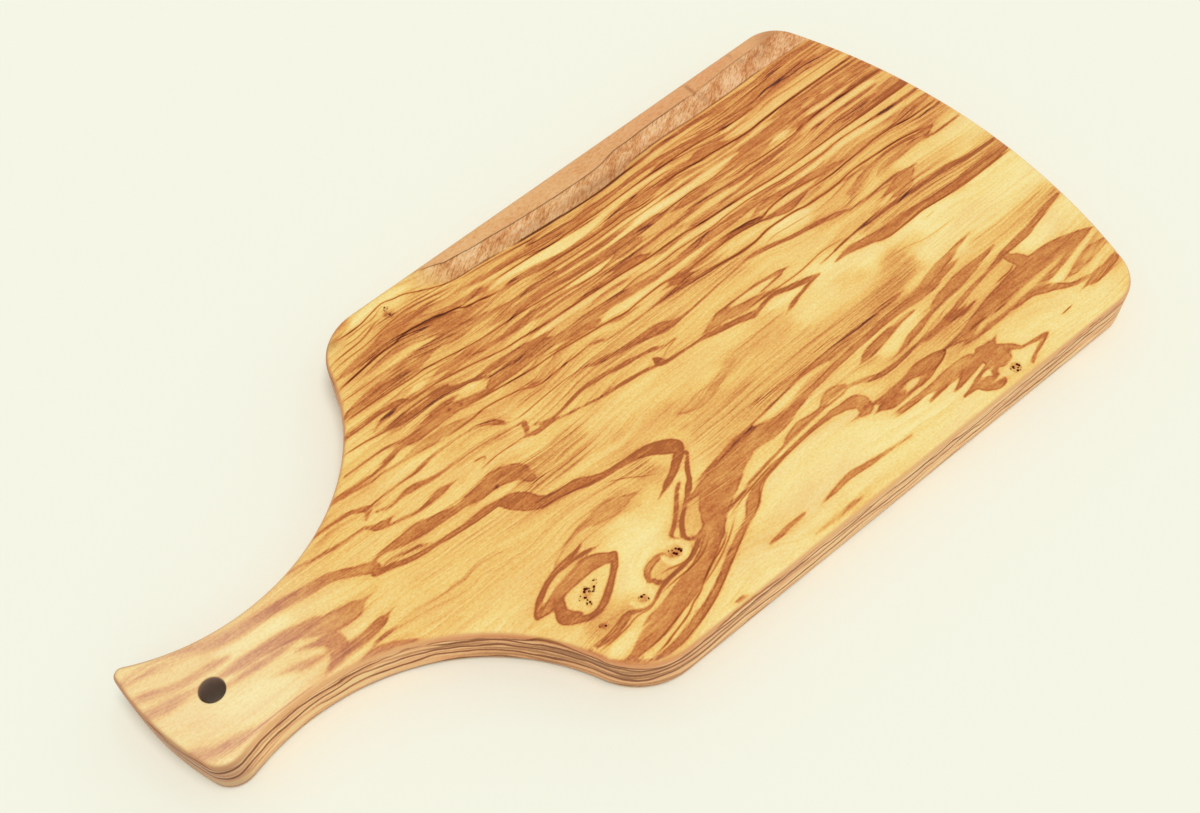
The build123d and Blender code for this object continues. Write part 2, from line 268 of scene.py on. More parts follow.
     (40, -49.8, 1.6), (46, -49, 1.2), (58, -47.8, 1.1), (70, -46.8, 1.3), (80, -46.5, 1.4), (90, -46, 1.2),
     (100, -46.5, 1.2), (115, -47.2, 1.1), (120, -47, 1), (125, -46, 1), (130, -45.2, 1), (136, -44.8, .6)),
    (.6, (71, -53, .5), (75, -52.2, 1.5), (80, -51.4, 1.9), (85, -50.8, 1.8), (90, -50.2, 1.6),
     (95, -49.8, 1.2), (100, -49.7, .9), (105, -49.9, .3)),
    # Lower middle
    (.48, (-15, -65.3, .5), (-8, -64, .5), (0, -62.4, .5), (5, -61.3, .6), (15, -60, .6), (25, -58.9, .5),
     (35, -58, .5), (45, -57.4, .5), (55, -57.6, .4), (60, -56.9, .5), (64, -57.8, .8), (67, -59, 1.2),
     (70, -60.3, 1.2), (74, -61.6, .9), (80, -61.9, .9), (85, -61.8, .7), (90, -61.3, .5), (95, -61.2, .5),
     (100, -61.2, .7), (105, -61, .8), (110, -60.5, .9), (114, -60.3, 1.1), (118, -59.6, 1),
     (122, -58.8, 1), (130, -57.6, .8), (140, -56.5, .7), (145, -56, .8), (150, -55, 1.1),
     (155, -54.6, 1.3), (160, -54.3, 1.6), (165, -54, 1.8), (170, -53.4, 1.5), (175, -52.5, 1.3),
     (180, -51.5, 1.2), (190, -50, .9), (194, -49.4, .6)),
    (.38, (25, -58.3, .5), (30, -57, 1), (35, -56.2, 1.4), (40, -56.7, 1), (45, -56.8, .8),
     (49, -55.3, 1.4), (53, -54.8, 2), (57, -55, 1.6), (60, -56, .7)),
    (.42, (46, -60.5, 1), (51, -61.5, 1.6), (55, -62.5, 2.4), (58, -64, 3.2), (58, -67, 3),
     (55, -68.5, 1.2), (52, -68.3, .5)),
    (.75, (60, -71.5, .6), (63, -71.5, 1.8), (66, -72, 2.6), (70, -71.5, 2.8), (73, -71, 2), (76, -70, 1)),
    (.6, (60, -68, .6), (66, -69, 1.2), (72, -69, 1.3), (78, -68.8, 1.2), (84, -69.5, 2.5),
     (87, -70.2, 3.1), (91, -70.3, 2.7), (95, -70.2, 1.8), (98.5, -70.1, .5)),
    (.55, (68, -74, .7), (75, -73.8, .7), (80, -73.6, .9), (84, -72.5, 1.6), (87, -71.5, 2)),
    (.36, (63, -76.3, .4), (67, -76.8, 1), (72, -77.2, 1.2), (77, -77.3, 1.1), (82, -78, 1.8),
     (86, -78.4, 2.3), (92, -78.2, 2.4), (98, -78.2, 2.2), (103, -78.4, 1.6)),
    (.4, (77, -81.3, .3), (80, -81, .6), (86, -80.3, 1.2)),
    (.3, (-8, -83, .3), (-4, -83, .6), (1, -82.5, .8), (6, -82.6, .7), (10, -82.7, .3)),
    (.38, (19, -83.8, .5), (24, -83.6, .8), (29, -83, 1.1), (34, -83, 1.4), (38, -83.8, 1.2),
     (43, -84.4, 1), (50, -85, .5), (61, -86.4, .3)),
    (.3, (6, -90.8, .3), (11, -91.3, .6), (17, -91, .9), (23, -91.2, .9), (28, -91.7, .6)),
    # Right, above the middle
    (.6, (76, 77.3, .6), (82, 77.4, .6), (86, 77.7, .5), (90, 78.3, .7), (100, 78.5, .9), (110, 78.5, .8),
     (115, 78.2, .7), (121, 77.5, .5)),
    (.42, (119, 76.2, .4), (122, 76.5, 1.2), (126, 76.3, 1.7), (130, 77, 1.4), (135, 77.6, 1),
     (140, 77.8, .9), (150, 77, .9), (160, 77.8, 1.2), (165, 78.2, 1.6), (170, 78.6, 1.6), (180, 78.6, 1),
     (188, 78.3, .8)),
    (.42, (80, 69.6, .5), (88, 70, .9), (100, 69.8, 1), (110, 69, 1), (120, 68.6, .9), (130, 68.3, .8),
     (135, 68.5, 1.2), (138, 68.3, 2), (141, 68, 1.5), (150, 68.4, 1.1), (160, 69, 1.2), (170, 69.4, 1.4),
     (180, 69.8, 1.6), (190, 70, 1)),
    (.42, (144, 70.9, .3), (150, 71.2, .5), (160, 71.3, .5), (170, 71.5, .6), (180, 71.8, .6)),
    (.45, (76, 59, .5), (85, 58.9, .7), (95, 58, .6), (105, 57.2, .5), (115, 57.3, .5), (118, 58, .8),
     (122, 58.3, .9), (128, 58.5, .5)),
    (.42, (75, 56.3, .6), (85, 56.3, .8), (95, 56, .7), (100, 55.7, .5), (120, 55.3, .3)),
    (.45, (134, 57.5, .4), (140, 57.6, .8), (145, 58, 1.3), (150, 58.3, 1.5), (155, 58.3, 1.1),
     (160, 58.1, .6), (170, 58.3, .5), (190, 58.2, .5)),
    (.5, (108, 52.2, .4), (112, 52.5, 1), (116, 53, 1.8), (120, 53, 2.3), (130, 53, 2.3), (140, 53.2, 2.5),
     (145, 53.4, 2.6), (150, 53.3, 2.3), (155, 52.6, 1.6), (165, 52.2, 1.4), (180, 52.3, 1.3),
     (195, 51.6, 1.4)),
    (.45, (148, 55.6, .6), (152, 55.6, 1), (165, 55.5, 1), (193, 55.5, .9)),
    (.58, (74, 48.5, 1.4), (80, 48.5, 1.8), (85, 48.4, 1.9), (90, 48.5, 1.6), (95, 48.7, 1.3),
     (100, 48.9, 1.2), (105, 49, 1.1), (110, 48.6, 1.6), (115, 48, 2), (118, 47.6, 2), (121, 48, 1.6),
     (125, 48.5, 1.2), (129, 49, .6)),
    (.6, (139, 47.2, .6), (142, 47.8, 1.1), (146, 47.8, 1.4), (150, 47.6, 1.1), (155, 47.2, .6),
     (165, 47.4, .8), (180, 47.6, .9), (190, 47.3, 1), (196, 46.4, .9)),
    (.38, (168, 35.3, .4), (175, 36, 1), (180, 36.6, 1.4), (185, 37, 1.8), (197, 37.4, 2.1)),
    (.75, (165, 33.8, .4), (175, 33.8, .7), (182, 34, .9), (190, 34.4, 1.2), (198, 34.2, 1.5)),
    (.7, (172, 28.7, .4), (178, 28.4, .7), (185, 28.1, .8), (198, 28.1, .8)),
    (.52, (93, 24.8, .4), (98, 25.7, 1.2), (104, 26, 1.5), (110, 26, 1.4), (116, 25.2, 1.2),
     (120, 24.7, 1.3), (124, 24.2, 1.5), (128, 23.5, 1.6), (132, 22.7, 1.5), (136, 22, 1.2),
     (142, 21.2, .6)),
    (.38, (171, 20.6, .4), (176, 21.4, .8), (180, 22, 1.2), (186, 22.5, 1.4), (199, 22.7, 1.6)),
    (.52, (113, 14.1, .5), (120, 14.1, .6), (128, 13.9, .5), (134, 13.4, .6), (143, 12.7, .6),
     (155, 12.4, .5), (165, 12, .6), (170, 11.5, .6), (173, 10.5, .8), (176, 9.2, 1.4), (179, 8.9, 1.5),
     (182, 9.2, 1), (185, 9.8, .5)),
    (.5, (175, 8.2, .6), (177, 7, .8), (180, 6.3, .5), (184, 5.8, .5), (199, 6, .5)),
    (.34, (150, 7, .4), (155, 7.3, .8), (160, 7.6, 1.2), (170, 8, 1.2), (175, 8, 1.2)),
    # Right, in the middle
    (.42, (139, -3.2, .5), (144, -3, 1.2), (148, -2.6, 2), (152, -2.4, 2.6), (155, -2.3, 2.3),
     (158, -1.6, 1.4), (161, -.8, .5)),
    (.4, (141, -6.2, .8), (147, -5.8, 2), (151, -5.5, 2.2), (154, -5.2, 1.2)),
    (.8, (104, -9.6, .3), (112, -8.7, .35), (120, -8.5, .45), (125, -8.5, .9), (130, -8.4, .9),
     (138, -8.5, .9), (145, -9, .8), (155, -9.6, .7), (165, -10, .7), (172, -10.3, .8), (176, -11.2, 1),
     (180, -12, 1), (186, -12.7, .8), (200, -13.2, .8)),
    (.58, (100, -13.5, .3), (105, -13, 1), (110, -13.3, 1.7), (114, -14, 1.8), (118, -14.8, 2),
     (122, -15.8, 2.4), (126, -16.3, 2.6), (135, -16.3, 2.5), (140, -16.6, 2.2), (145, -17, 1.8),
     (150, -17.7, 1.7), (155, -18.2, 1.8), (160, -18.7, 1.9), (170, -18.9, 2.1), (180, -18.6, 2.5),
     (190, -18.2, 2.8), (200, -17.8, 3.2)),
    # Right, below the middle
    (.5, (79, -59.5, .3), (85, -59.3, .5), (89, -58.5, .9), (93, -57.3, 1.3), (97, -56.8, 1.4),
     (101, -56.3, 1.2), (105, -55.5, 1), (109, -54.8, .9), (112, -53.8, 1.5), (116, -53, 1.9),
     (120, -52.5, 2.3), (125, -52, 2.6), (130, -51.5, 2.6), (135, -51, 2.2), (140, -50.7, 1.7),
     (146, -50.2, .9), (153, -49.6, .3)),
    (.55, (96, -62.3, .4), (100, -62.3, .8), (106, -62, .9), (112, -62, 1.3)),
    (.85, (111, -61.6, .8), (114, -61.7, 1.2), (117, -62, 1.5), (119, -61.6, 1)),
    (.8, (111, -62.9, .3), (117, -63.2, .5), (121, -62.8, .45), (126, -62.5, .2)),
    (.55, (99, -69.5, .5), (105, -70, 1.3), (110, -70.5, 2.4), (115, -70.5, 3.2), (120, -70, 3.8),
     (126, -69.5, 4.4), (133, -69, 4.9), (140, -68.6, 5.2), (147, -68.3, 5.6), (154, -68.2, 5.9),
     (160, -68, 5.6), (166, -68, 5), (172, -68.3, 4.2), (178, -68.8, 3), (183, -69.3, 1.6),
     (188, -69.7, .5)),
    (.5, (105, -73.2, .5), (112, -73.5, 1.1), (122, -74, 1.1), (135, -74, .9), (145, -74.3, .9),
     (155, -74.5, .7), (165, -73.5, .7), (175, -71.9, .7), (184, -70.5, .4)),
    (.55, (151, -56, 1.5), (152, -59, 2.4), (153.5, -61, 3.2), (154, -63.5, 3.6)),
    (.42, (133, -75, .8), (142, -75, .8), (146, -76, 1.2), (149, -77, 1.6), (152, -78, 1.8),
     (154, -79.5, 1.6), (157, -81.5, 1), (160, -83, .9), (164, -84, .8), (173, -84.7, .5),
     (184, -84.2, .4)),
    (.5, (162, -86.5, .9), (166, -86.5, 1.6), (170, -86.3, 1.7), (175, -86, 1.6), (180, -85.8, 1.4),
     (184, -85.3, .9)),
    (.28, (161, -79, .6), (165, -78.8, 1.5), (170, -78, 2.1), (175, -77.5, 2.4), (180, -77.2, 2.4),
     (187, -77.3, 2)),
    # Round the knot at the near edge
    (.52, (87, -84.5, .3), (90, -84, .8), (93, -83.2, 1.4), (96, -82.3, 2), (100, -81.5, 2.3),
     (104, -80.8, 2.4), (108, -80.5, 2.5), (112, -80.2, 2.3), (115, -79.5, 1.2), (117, -78.7, .4)),
    (.5, (108, -80.5, 3.2), (110, -83, 5), (110.5, -84.8, 4.8), (112, -86.3, 3.6)),
    (.5, (115, -82.5, 1.2), (118, -85.3, 1.5), (120, -87.5, 1.1), (122, -88.6, .7), (128, -89.8, .8),
     (131, -90.1, .7), (134, -90.2, .15)),
    (.5, (133, -90.4, .4), (129, -91.6, .8), (126, -92.4, .8), (123, -93.2, .7), (121, -94, .8),
     (118, -95.6, .6)),
    (.5, (87.5, -88.3, .3), (91, -88.2, .8), (95, -88.3, 1.6), (98, -90, 3.2), (101, -91.8, 3),
     (103.5, -92.5, 2.2)),
    (.52, (106, -85.5, 1.6), (104.8, -88.5, 1.1), (104.3, -92, 1.1)),
    (.8, (103, -91.6, .5), (103.6, -93.8, .7)),
    (.5, (96, -86.8, .7), (100, -86, .6), (105, -85.3, .8)),
]

# Pale lenses that lie over the bands: how pale, from 0 (cream) to 1 (amber), then the points of the
# middle line with the half width there.
PALE_LENSES = [
    (.1, (-38.2, -62, .9), (-37.6, -65, 1.1), (-34.5, -67, 1.1), (-31, -66.2, 1), (-29.4, -63, .8),
     (-31, -60, .8), (-35, -59.2, .8)),
    (.1, (-57.4, -67.5, .8), (-56.5, -70, 1), (-53.5, -71.2, .7), (-50.5, -70, .9), (-49.6, -67.5, .8)),
    (.2, (-134, -14.2, .5), (-130, -14.2, .9), (-126, -14.2, .5)),
    (.1, (-142, -20.8, .6), (-136, -21.2, .8), (-131, -21.5, .5)),
    (.2, (-198, 21.9, .4), (-188, 21, .5), (-178, 17.6, .4)),
    (.3, (-80, -47.8, .4), (-70, -45, .5), (-62, -43.8, .4)),
    (.1, (-77, -77, .8), (-72, -76.5, 2), (-66, -76.5, 1.9), (-61, -76.5, 1)),
    (.3, (-58, -73.5, .4), (-52, -74, .5), (-47, -72.5, .6), (-42, -71.2, .5), (-38, -70.8, .4)),
    (.1, (-60, 88.5, .6), (-53, 90, 1.6), (-46, 92, 1.6), (-38, 91.5, 1.6), (-30, 90.5, .8)),
    (.25, (-60, 49.5, .4), (-56, 49.8, 1.4), (-52, 49.8, .6)),
    (.3, (-48, 37, .6), (-43, 36.8, 1.4), (-37, 35.5, .7)),
    (.3, (-60, 64.5, .6), (-50, 64.8, 1.4), (-40, 64, .9)),
    (.15, (-15, 72.5, .4), (-6, 71.6, .6), (2, 71, .4)),
    (.08, (-8, 67, .3), (0, 67.8, 1.2), (8, 67.6, 1.5), (15, 66.8, 2), (22, 65.8, 2.6), (28, 65, 2.6),
     (35, 64.8, 2.1), (42, 65, 1.6), (50, 65.8, 1.2), (58, 66.5, .9), (66, 67, .8), (85, 67.3, .7)),
    (.2, (18, 57.2, .3), (30, 56.9, .5), (40, 56.6, .6), (55, 56.8, .7), (85, 57.4, .6), (95, 57, .5),
     (115, 56.3, .5), (132, 57, .4), (138, 57, .2)),
    (.1, (16, 53.8, .3), (24, 53.3, .4), (38, 52.7, .5), (46, 53, .7), (55, 53.5, 1.1), (65, 54, 1.5),
     (75, 53.2, 1.5), (85, 53, 1.5), (95, 53.2, 1.5), (100, 53.2, 1.3), (105, 53.3, .9), (114, 53.5, .3)),
    (.2, (90, 51.5, .5), (97, 51.3, .9), (103, 51, .3)),
    (.15, (15, 47.3, .4), (20, 47.1, 1), (26, 46.8, 1.2), (31, 46.6, .8), (36, 46.7, .3)),
    (.25, (-10, 38, .6), (5, 38, 1), (20, 37.4, 1), (35, 36.9, .9), (48, 36.2, .5)),
    (.2, (45, 33.6, .5), (60, 34.4, .8), (75, 33.7, 1), (90, 33.5, 1.2), (105, 32.8, 1), (115, 32.2, .9),
     (125, 31.8, 1.2), (140, 31.6, 1.4), (150, 31.8, 1.1), (160, 31.5, 1.3), (170, 31.2, 1.5),
     (199, 30.9, 1.6)),
    (.12, (13, 26.3, .4), (17, 26.8, 1), (21, 27, 1.6), (26, 26.5, 1.6), (32, 26.2, 1.3), (38, 26.2, 1),
     (44, 26, .7), (60, 26.8, .5), (75, 26.8, .4)),
    (.15, (97, 21.3, .5), (102, 22, 1.2), (108, 22.1, 1.3), (114, 21.7, 1.2), (120, 21.2, .7),
     (124, 20.7, .3)),
    (.15, (120, 27, .4), (130, 27.2, 1), (140, 27.5, 1.3), (150, 28, 1.5), (160, 27.4, 1.7),
     (170, 26.6, 1.4), (180, 26, 1.1), (199, 25.3, 1.1)),
    (.3, (76, 19.6, 1), (80, 19.4, 1.8), (85, 19, 1.9), (90, 18.7, 1.4), (93, 18.4, .6)),
    (.25, (90, 13.8, .6), (95, 13.5, 1.1), (100, 13.2, 1.1), (105, 12.8, 1), (112, 12, .8)),
    (.2, (85, 76, .4), (90, 76.4, .8), (100, 76.2, .9), (110, 76.3, .8), (119, 76.2, .3)),
    (.25, (80, 79.5, .3), (95, 79.8, .4), (130, 79.6, .4), (150, 79.7, .3)),
    (.2, (116, 66, .3), (120, 65.5, .6), (130, 66, .4), (137, 66.4, .2)),
    (.25, (113, 62.8, .3), (120, 62, 1.4), (132, 62.2, 1.7), (140, 62.6, 1.9), (150, 63, 2), (170, 63, 2),
     (193, 62.8, 1.8)),
    (.3, (136, 66.3, .4), (145, 66.4, .8), (165, 66.3, .7), (192, 66.3, .6)),
    (.1, (128, 48.2, .5), (132, 48, 1.2), (136, 48, 1.3), (139.5, 47.6, .7)),
    (.3, (104, 46, .4), (114, 45.9, .3), (125, 46.2, .5), (138, 45.8, .3)),
    (.1, (150, 49.3, .3), (155, 49.2, 1.1), (160, 48.9, 1.3), (165, 48.8, 1), (170, 49, .8),
     (176, 49.2, .4)),
    (.15, (143, 43.4, .4), (150, 43.8, 1), (155, 44, 1.1), (165, 44, 1), (170, 44.3, 1.2), (180, 44.4, 1.5),
     (185, 44, 1.3), (188, 43, .5)),
    (.2, (70, 41.4, .6), (80, 41.2, 1.1), (90, 41, 1), (95, 40.7, .8), (100, 40.4, .6), (110, 40.6, .2)),
    (.3, (152, 53.6, .3), (156, 53.6, .45), (160, 53.6, .2)),
    (.3, (164, 53.7, .2), (168, 53.9, .4), (172, 53.8, .2)),
    (.3, (175, 53.5, .2), (179, 53.7, .4), (183, 53.5, .2)),
    (.2, (55, -1.8, .5), (62, -2, .9), (70, -2.5, 1), (76, -2.8, .7)),
    (.2, (62, -11.5, .5), (67, -12, 1.7), (73, -12.8, 2), (79, -13, .9)),
    (.15, (23, -45.3, .3), (28, -45.5, .8), (34, -45.5, 1.2), (40, -45, 1.4), (46, -44.3, 1.3),
     (52, -43.8, 1), (58, -44, .7), (63, -44.5, .3)),
    (.2, (5, -62.8, .4), (15, -61, .4), (25, -59.8, .4), (35, -59, .4), (45, -58.6, .4), (58, -58.6, .4)),
    (.25, (74, -48.3, .4), (85, -48.3, .35), (100, -48, .3), (105, -48.7, .2)),
    (.2, (93, -48.9, .3), (98, -49.2, .3), (102, -49.2, .2)),
    (.3, (73, -71.4, .4), (77, -71.5, 1), (81, -71.7, .9), (83, -72, .4)),
    (.45, (122, -72.2, .5), (130, -72.5, .9), (138, -72.3, 1.1), (146, -71.8, 1.2), (154, -71.5, 1),
     (162, -71.3, .8), (168, -70.8, .4)),
    (.4, (114, -72.6, .4), (118, -71.8, .8), (123, -71.4, .5)),
    (.1, (99, -87.4, .4), (101, -87.2, 1), (103.3, -87, .8)),
    (.12, (108, -91.7, 2.4), (111, -91.8, 3.1), (115, -91.6, 3), (119, -91.3, 2.3), (123, -91, 1.6),
     (127, -91, .5)),
    (.1, (154, -77.3, .4), (157, -77.2, 1.1), (161, -76.5, 1.2), (165, -75.7, 1), (170, -74.9, .8),
     (175, -74, .7), (180, -73.2, .5)),
    (.5, (-133, -24.9, .3), (-128, -26.4, .3)),
]

# Growth lines drawn with a fine dark edge: how strong the line is, its half width, then its points.
GROWTH_LINES = [
    (.7, .35, (-48.3, -71.7), (-41.7, -71.1), (-32.8, -71.1), (-26.1, -69.6), (-20.6, -66.7)),
    (.6, .3, (-78, -70.2), (-72, -70.6), (-66, -69.6), (-62, -68.4)),
    (.6, .35, (-66, -83.6), (-56, -82.6), (-46, -80.8), (-36, -78.8), (-26, -76), (-16, -71.6),
     (-8, -66.6)),
    (.5, .3, (-32.8, -27.2), (-26.1, -30.6), (-21.7, -33.9), (-17, -36.5)),
    (.6, .5, (-160, -.3), (-152, -1.5), (-145, -2.9)),
    (.8, .35, (-67, 87), (-60, 87), (-55, 87.3), (-50, 88.5), (-45, 89.7), (-42, 90), (-38, 88.8),
     (-34, 88), (-30, 86), (-25, 83.5), (-20, 81.5), (-15, 80.3), (-8, 79.8), (0, 79.5), (10, 78.5)),
    (.5, .3, (-65, 85), (-55, 86), (-50, 86.3), (-46, 88), (-43, 89)),
    (.7, .4, (-75, 79), (-70, 80), (-60, 81), (-55, 82.3), (-51, 84), (-47, 84.6)),
    (.5, .3, (-66, 83.2), (-60, 83), (-55, 84), (-50, 85)),
    (.6, .35, (-77, 75.8), (-73, 77), (-65, 77.8), (-60, 78), (-55, 78.8), (-50, 79.7), (-45, 80.5),
     (-38, 81.2), (-30, 80.4), (-22, 78.8), (-14, 78.2)),
    (1, .5, (-80, 68), (-75, 68.8), (-65, 70.3), (-60, 71.2), (-56, 71.3), (-51, 71.3), (-48, 72),
     (-44, 72.6), (-40, 72.6), (-36, 71.2), (-32, 70.6), (-28, 69.7), (-24, 69), (-22, 68.4), (-20.5, 67),
     (-17, 66.3), (-13, 65.7), (-10, 64.8), (-4, 64)),
    (.6, .3, (-82, 63.2), (-70, 63.3), (-62, 64)),
    (.8, .35, (-87, 55.3), (-75, 55.4), (-65, 55), (-55, 54.4), (-50, 54.6), (-45, 54), (-40, 53.2),
     (-35, 52.3), (-30, 51.6), (-20, 50.8), (-8, 50.7), (0, 50), (6, 49.5), (12, 48.9), (18, 48.6),
     (30, 48.2), (38, 48.2)),
    (.5, .3, (-72, 51.5), (-65, 52), (-60, 52.6), (-50, 52.4), (-45, 51.8), (-35, 51)),
    (.8, .4, (-65, 47.6), (-60, 47), (-50, 46.5), (-45, 45.8), (-35, 44.2), (-25, 42), (-20, 41.4),
     (-10, 40.8), (0, 39.9)),
    (.7, .35, (-95, 44.3), (-90, 43.9), (-85, 43.6), (-80, 42.8), (-76, 41.9)),
    (.8, .4, (-50, 31), (-40, 30), (-30, 28.6), (-20, 27.5), (-8, 27.2), (0, 26.3), (10, 25.2), (18, 24.3),
     (21, 23.6), (25, 23.4), (30, 23.8), (40, 24.3), (45, 24.1), (49, 23.7), (53, 24.2)),
    (.7, .4, (-62, 25.4), (-50, 25.4), (-46, 25.9), (-42, 25.7), (-38, 25.2), (-33, 24.2), (-28, 22.9),
     (-25, 21), (-20, 20.3), (-10, 20.9), (-4, 21), (4, 21.5)),
    (.6, .3, (-42, 15.2), (-38, 14.4), (-33, 14.5), (-27, 15), (-20, 15.4), (-14, 15.6), (-5, 15.2)),
    (.7, .35, (-80, 10.2), (-77, 11), (-73, 11), (-68, 10.8), (-63, 10.8), (-59, 10.4), (-57, 9.8),
     (-58, 8.8), (-60, 8)),
    (.7, .3, (-62, 6.5), (-58, 7), (-54, 7.3), (-50, 7.2), (-42, 6.7)),
    (.5, .25, (-57, -10.7), (-54, -11), (-50, -10), (-46, -10)),
    (.6, .35, (-44, -66), (-40, -66.5), (-37, -67.5), (-33, -68.2), (-30, -67.5), (-28, -66), (-27, -64)),
    (.7, .35, (-79, -73), (-73, -73.3), (-65, -73), (-61, -72.3), (-58, -72.3), (-54, -73), (-48, -71)),
    (.8, .4, (-66, -86.3), (-60, -86), (-55, -85), (-50, -84), (-45, -82.5), (-42, -81), (-38, -79.8),
     (-32, -76.8), (-28, -75), (-20, -72.5), (-14, -69)),
    (.6, .3, (-57, -89.4), (-47, -88), (-37, -85.4), (-27, -81.3), (-18, -77.1), (-11, -74), (-6, -72.3)),
    (.75, .25, (-25, 94.7), (-20, 92.7), (-15, 91), (-12, 89.7), (-5, 89), (0, 88.3), (10, 87.8), (20, 87),
     (35, 86.5), (45, 86.2), (60, 86.3), (68, 87), (77, 89), (85, 89.3), (95, 90), (105, 90.3), (120, 90.7),
     (125, 90.2)),
    (.45, .25, (126, 90.3), (130, 91), (135, 91.5), (145, 92.3), (155, 92.8), (166, 92.9)),
    (1.3, .5, (12, 78.2), (20, 77.6), (30, 77), (36, 76.8), (40, 76.5), (50, 76.2), (60, 76.3), (70, 76.9),
     (75, 77.2), (82, 77.2)),
    (.8, .35, (76, 79.6), (85, 80.3), (95, 80.8), (105, 80.7), (115, 80.4), (130, 80.5), (140, 80.8),
     (150, 81.2), (160, 81.3)),
    (.45, .25, (158, 81.3), (170, 81.2), (184, 80.9)),
    (.6, .4, (-15, 79), (-5, 78.5), (5, 77.6), (15, 76.3), (20, 75.8), (30, 75.7), (34, 76.2)),
    (.5, .35, (-12, 72.8), (0, 72.3), (10, 71.3), (20, 70.7)),
    (.85, .35, (-5, 69.6), (5, 69.4), (15, 69), (25, 68.2), (35, 68.4), (50, 68.2), (60, 68.6), (75, 69),
     (85, 68.9), (95, 69.1), (105, 68.7), (110, 68.2), (115, 67.6), (120, 67.2), (130, 67), (138, 67.5)),
    (.85, .4, (13, 61.8), (20, 61.3), (30, 60.6), (40, 60.2), (50, 60.3), (57, 60.8), (63, 59.3),
     (70, 59.3), (74, 59.7)),
    (.6, .3, (48, 62.8), (55, 63.8), (60, 64.3), (70, 65.2), (75, 65.7), (80, 65.8), (88, 65.3)),
    (.95, .5, (75, 62.4), (78, 61.5), (86, 61.9), (90, 61.6), (95, 61.2), (100, 60.8), (105, 60.6),
     (110, 60.1), (115, 59.6), (122, 59), (128, 59), (133, 59.5), (140, 59.9), (150, 60.2), (165, 60.3),
     (185, 60.4), (193, 60)),
    (.55, .4, (5, 60), (12, 59.2), (20, 58.5), (28, 58), (45, 58), (55, 58.3), (65, 58), (85, 58.1)),
    (.5, .3, (-15, 58.2), (-5, 57.3), (5, 56.8)),
    (.5, .3, (20, 56), (35, 55.8), (60, 56), (75, 55.9), (90, 55.2)),
    (.6, .35, (65, 50.4), (75, 50.5), (85, 50.9), (94, 50.4), (105, 51), (115, 51), (118, 50.6)),
    (.8, .35, (100, 45.5), (108, 45.3), (112, 45.6), (117, 45.1), (127, 44.9), (137, 45), (144, 45.2)),
    (1, .5, (140, 45.4), (143, 45.9), (146, 46.5)),
    (.8, .5, (145, 46.2), (152, 46.6), (160, 46.8), (175, 47), (185, 47.1), (190, 46.7), (196, 46)),
    (.7, .3, (16, 46.2), (21, 45.4), (29, 45), (33, 45.7), (38, 46.3)),
    (.85, .4, (3, 39.6), (12, 39.5), (20, 39.2), (27, 38.8), (35, 38.4), (45, 37.5), (50, 37.2), (60, 37.3),
     (70, 36.7), (80, 35.8), (90, 35.3), (95, 35), (100, 34.8), (105, 34.4), (110, 34), (115, 33.6),
     (125, 33.3), (140, 33.4), (160, 33.4), (170, 33), (180, 33), (199, 32.8)),
    (.7, .35, (28, 32), (33, 32.6), (38, 32.9), (45, 32.5), (53, 32.2), (58, 32.5), (70, 32.2), (78, 31.7),
     (86, 32.3), (98, 32.3), (103, 32), (108, 31.5), (116, 30.5), (125, 30), (135, 29.5), (142, 29.6),
     (148, 30.1), (156, 29.9), (165, 29.4), (174, 28.5)),
    (.6, .4, (-15, 28.9), (-5, 27.9), (2, 27.3), (8, 26.5)),
    (.8, .45, (56, 22.7), (66, 22.6), (78, 22.8), (86, 22.3), (91, 21.4), (96, 20.3)),
    (.8, .45, (73, 24.9), (80, 24.8), (85, 24.3), (90, 23.9), (95, 22.5), (97, 22), (100, 23), (105, 23.6),
     (110, 23.8), (115, 23.6), (120, 23.2), (124, 22.6), (128, 21.8), (132, 20.8)),
    (.85, .4, (119, 19.4), (125, 19.2), (135, 19), (143, 19.5), (153, 19.8), (160, 20.4), (170, 20.1),
     (173, 19.8), (176, 19.2), (180, 18.6), (185, 18.3), (199, 18.2)),
    (.9, .5, (60, 16.8), (68, 15.9), (75, 15), (80, 14.8), (85, 14.9), (88, 15.3), (92, 15.9), (96, 16),
     (100, 15.8), (104, 15.6), (108, 15.2), (110, 14.8), (113, 14.2), (117, 13.9), (122, 13.7), (127, 13.6),
     (131, 13.8), (134, 14.1), (138, 14.7), (146, 14.8), (150, 14.5), (160, 13.9), (165, 13.6), (170, 13),
     (174, 12.3), (178, 11.5), (184, 10.5)),
    (.45, .3, (86, 11.2), (93, 12), (97, 11.6), (103, 11), (108, 10.5), (114, 10)),
    (.5, .3, (129, -.2), (135, -.1), (140, -.1), (145, -.5), (148, -1.5)),
    (.65, .35, (60, -6.6), (70, -7.1), (80, -7.5), (85, -7.6), (90, -7.3), (95, -6.8), (99, -6.4),
     (103, -6.5), (107, -6.9), (112, -7.3)),
    (.7, .35, (94, -10.4), (100, -10), (104, -9.6), (108, -9), (114, -8.5)),
    (.5, .3, (165, -8.9), (172, -9.3), (176, -10.2), (180, -10.9), (185, -11.3), (192, -11.3)),
    (.5, .3, (19, 1.5), (23, 1.8), (28, 2), (29, 1.7), (25, .8), (21, -.5), (19.5, -1.8)),
    (.4, .25, (20, 14.8), (33, 15)),
    (.4, .3, (38, -17.5), (50, -17.5), (56, -17.2), (70, -17)),
    (.8, .4, (119, -18), (125, -18.9), (130, -19.1), (140, -18.9), (145, -18.8), (150, -19.3), (155, -19.9),
     (160, -20.4), (165, -20.9), (170, -21.2), (180, -21.3), (200, -21.2)),
    (.7, .35, (-10, -66), (0, -63.6), (10, -61.9), (20, -60.7)),
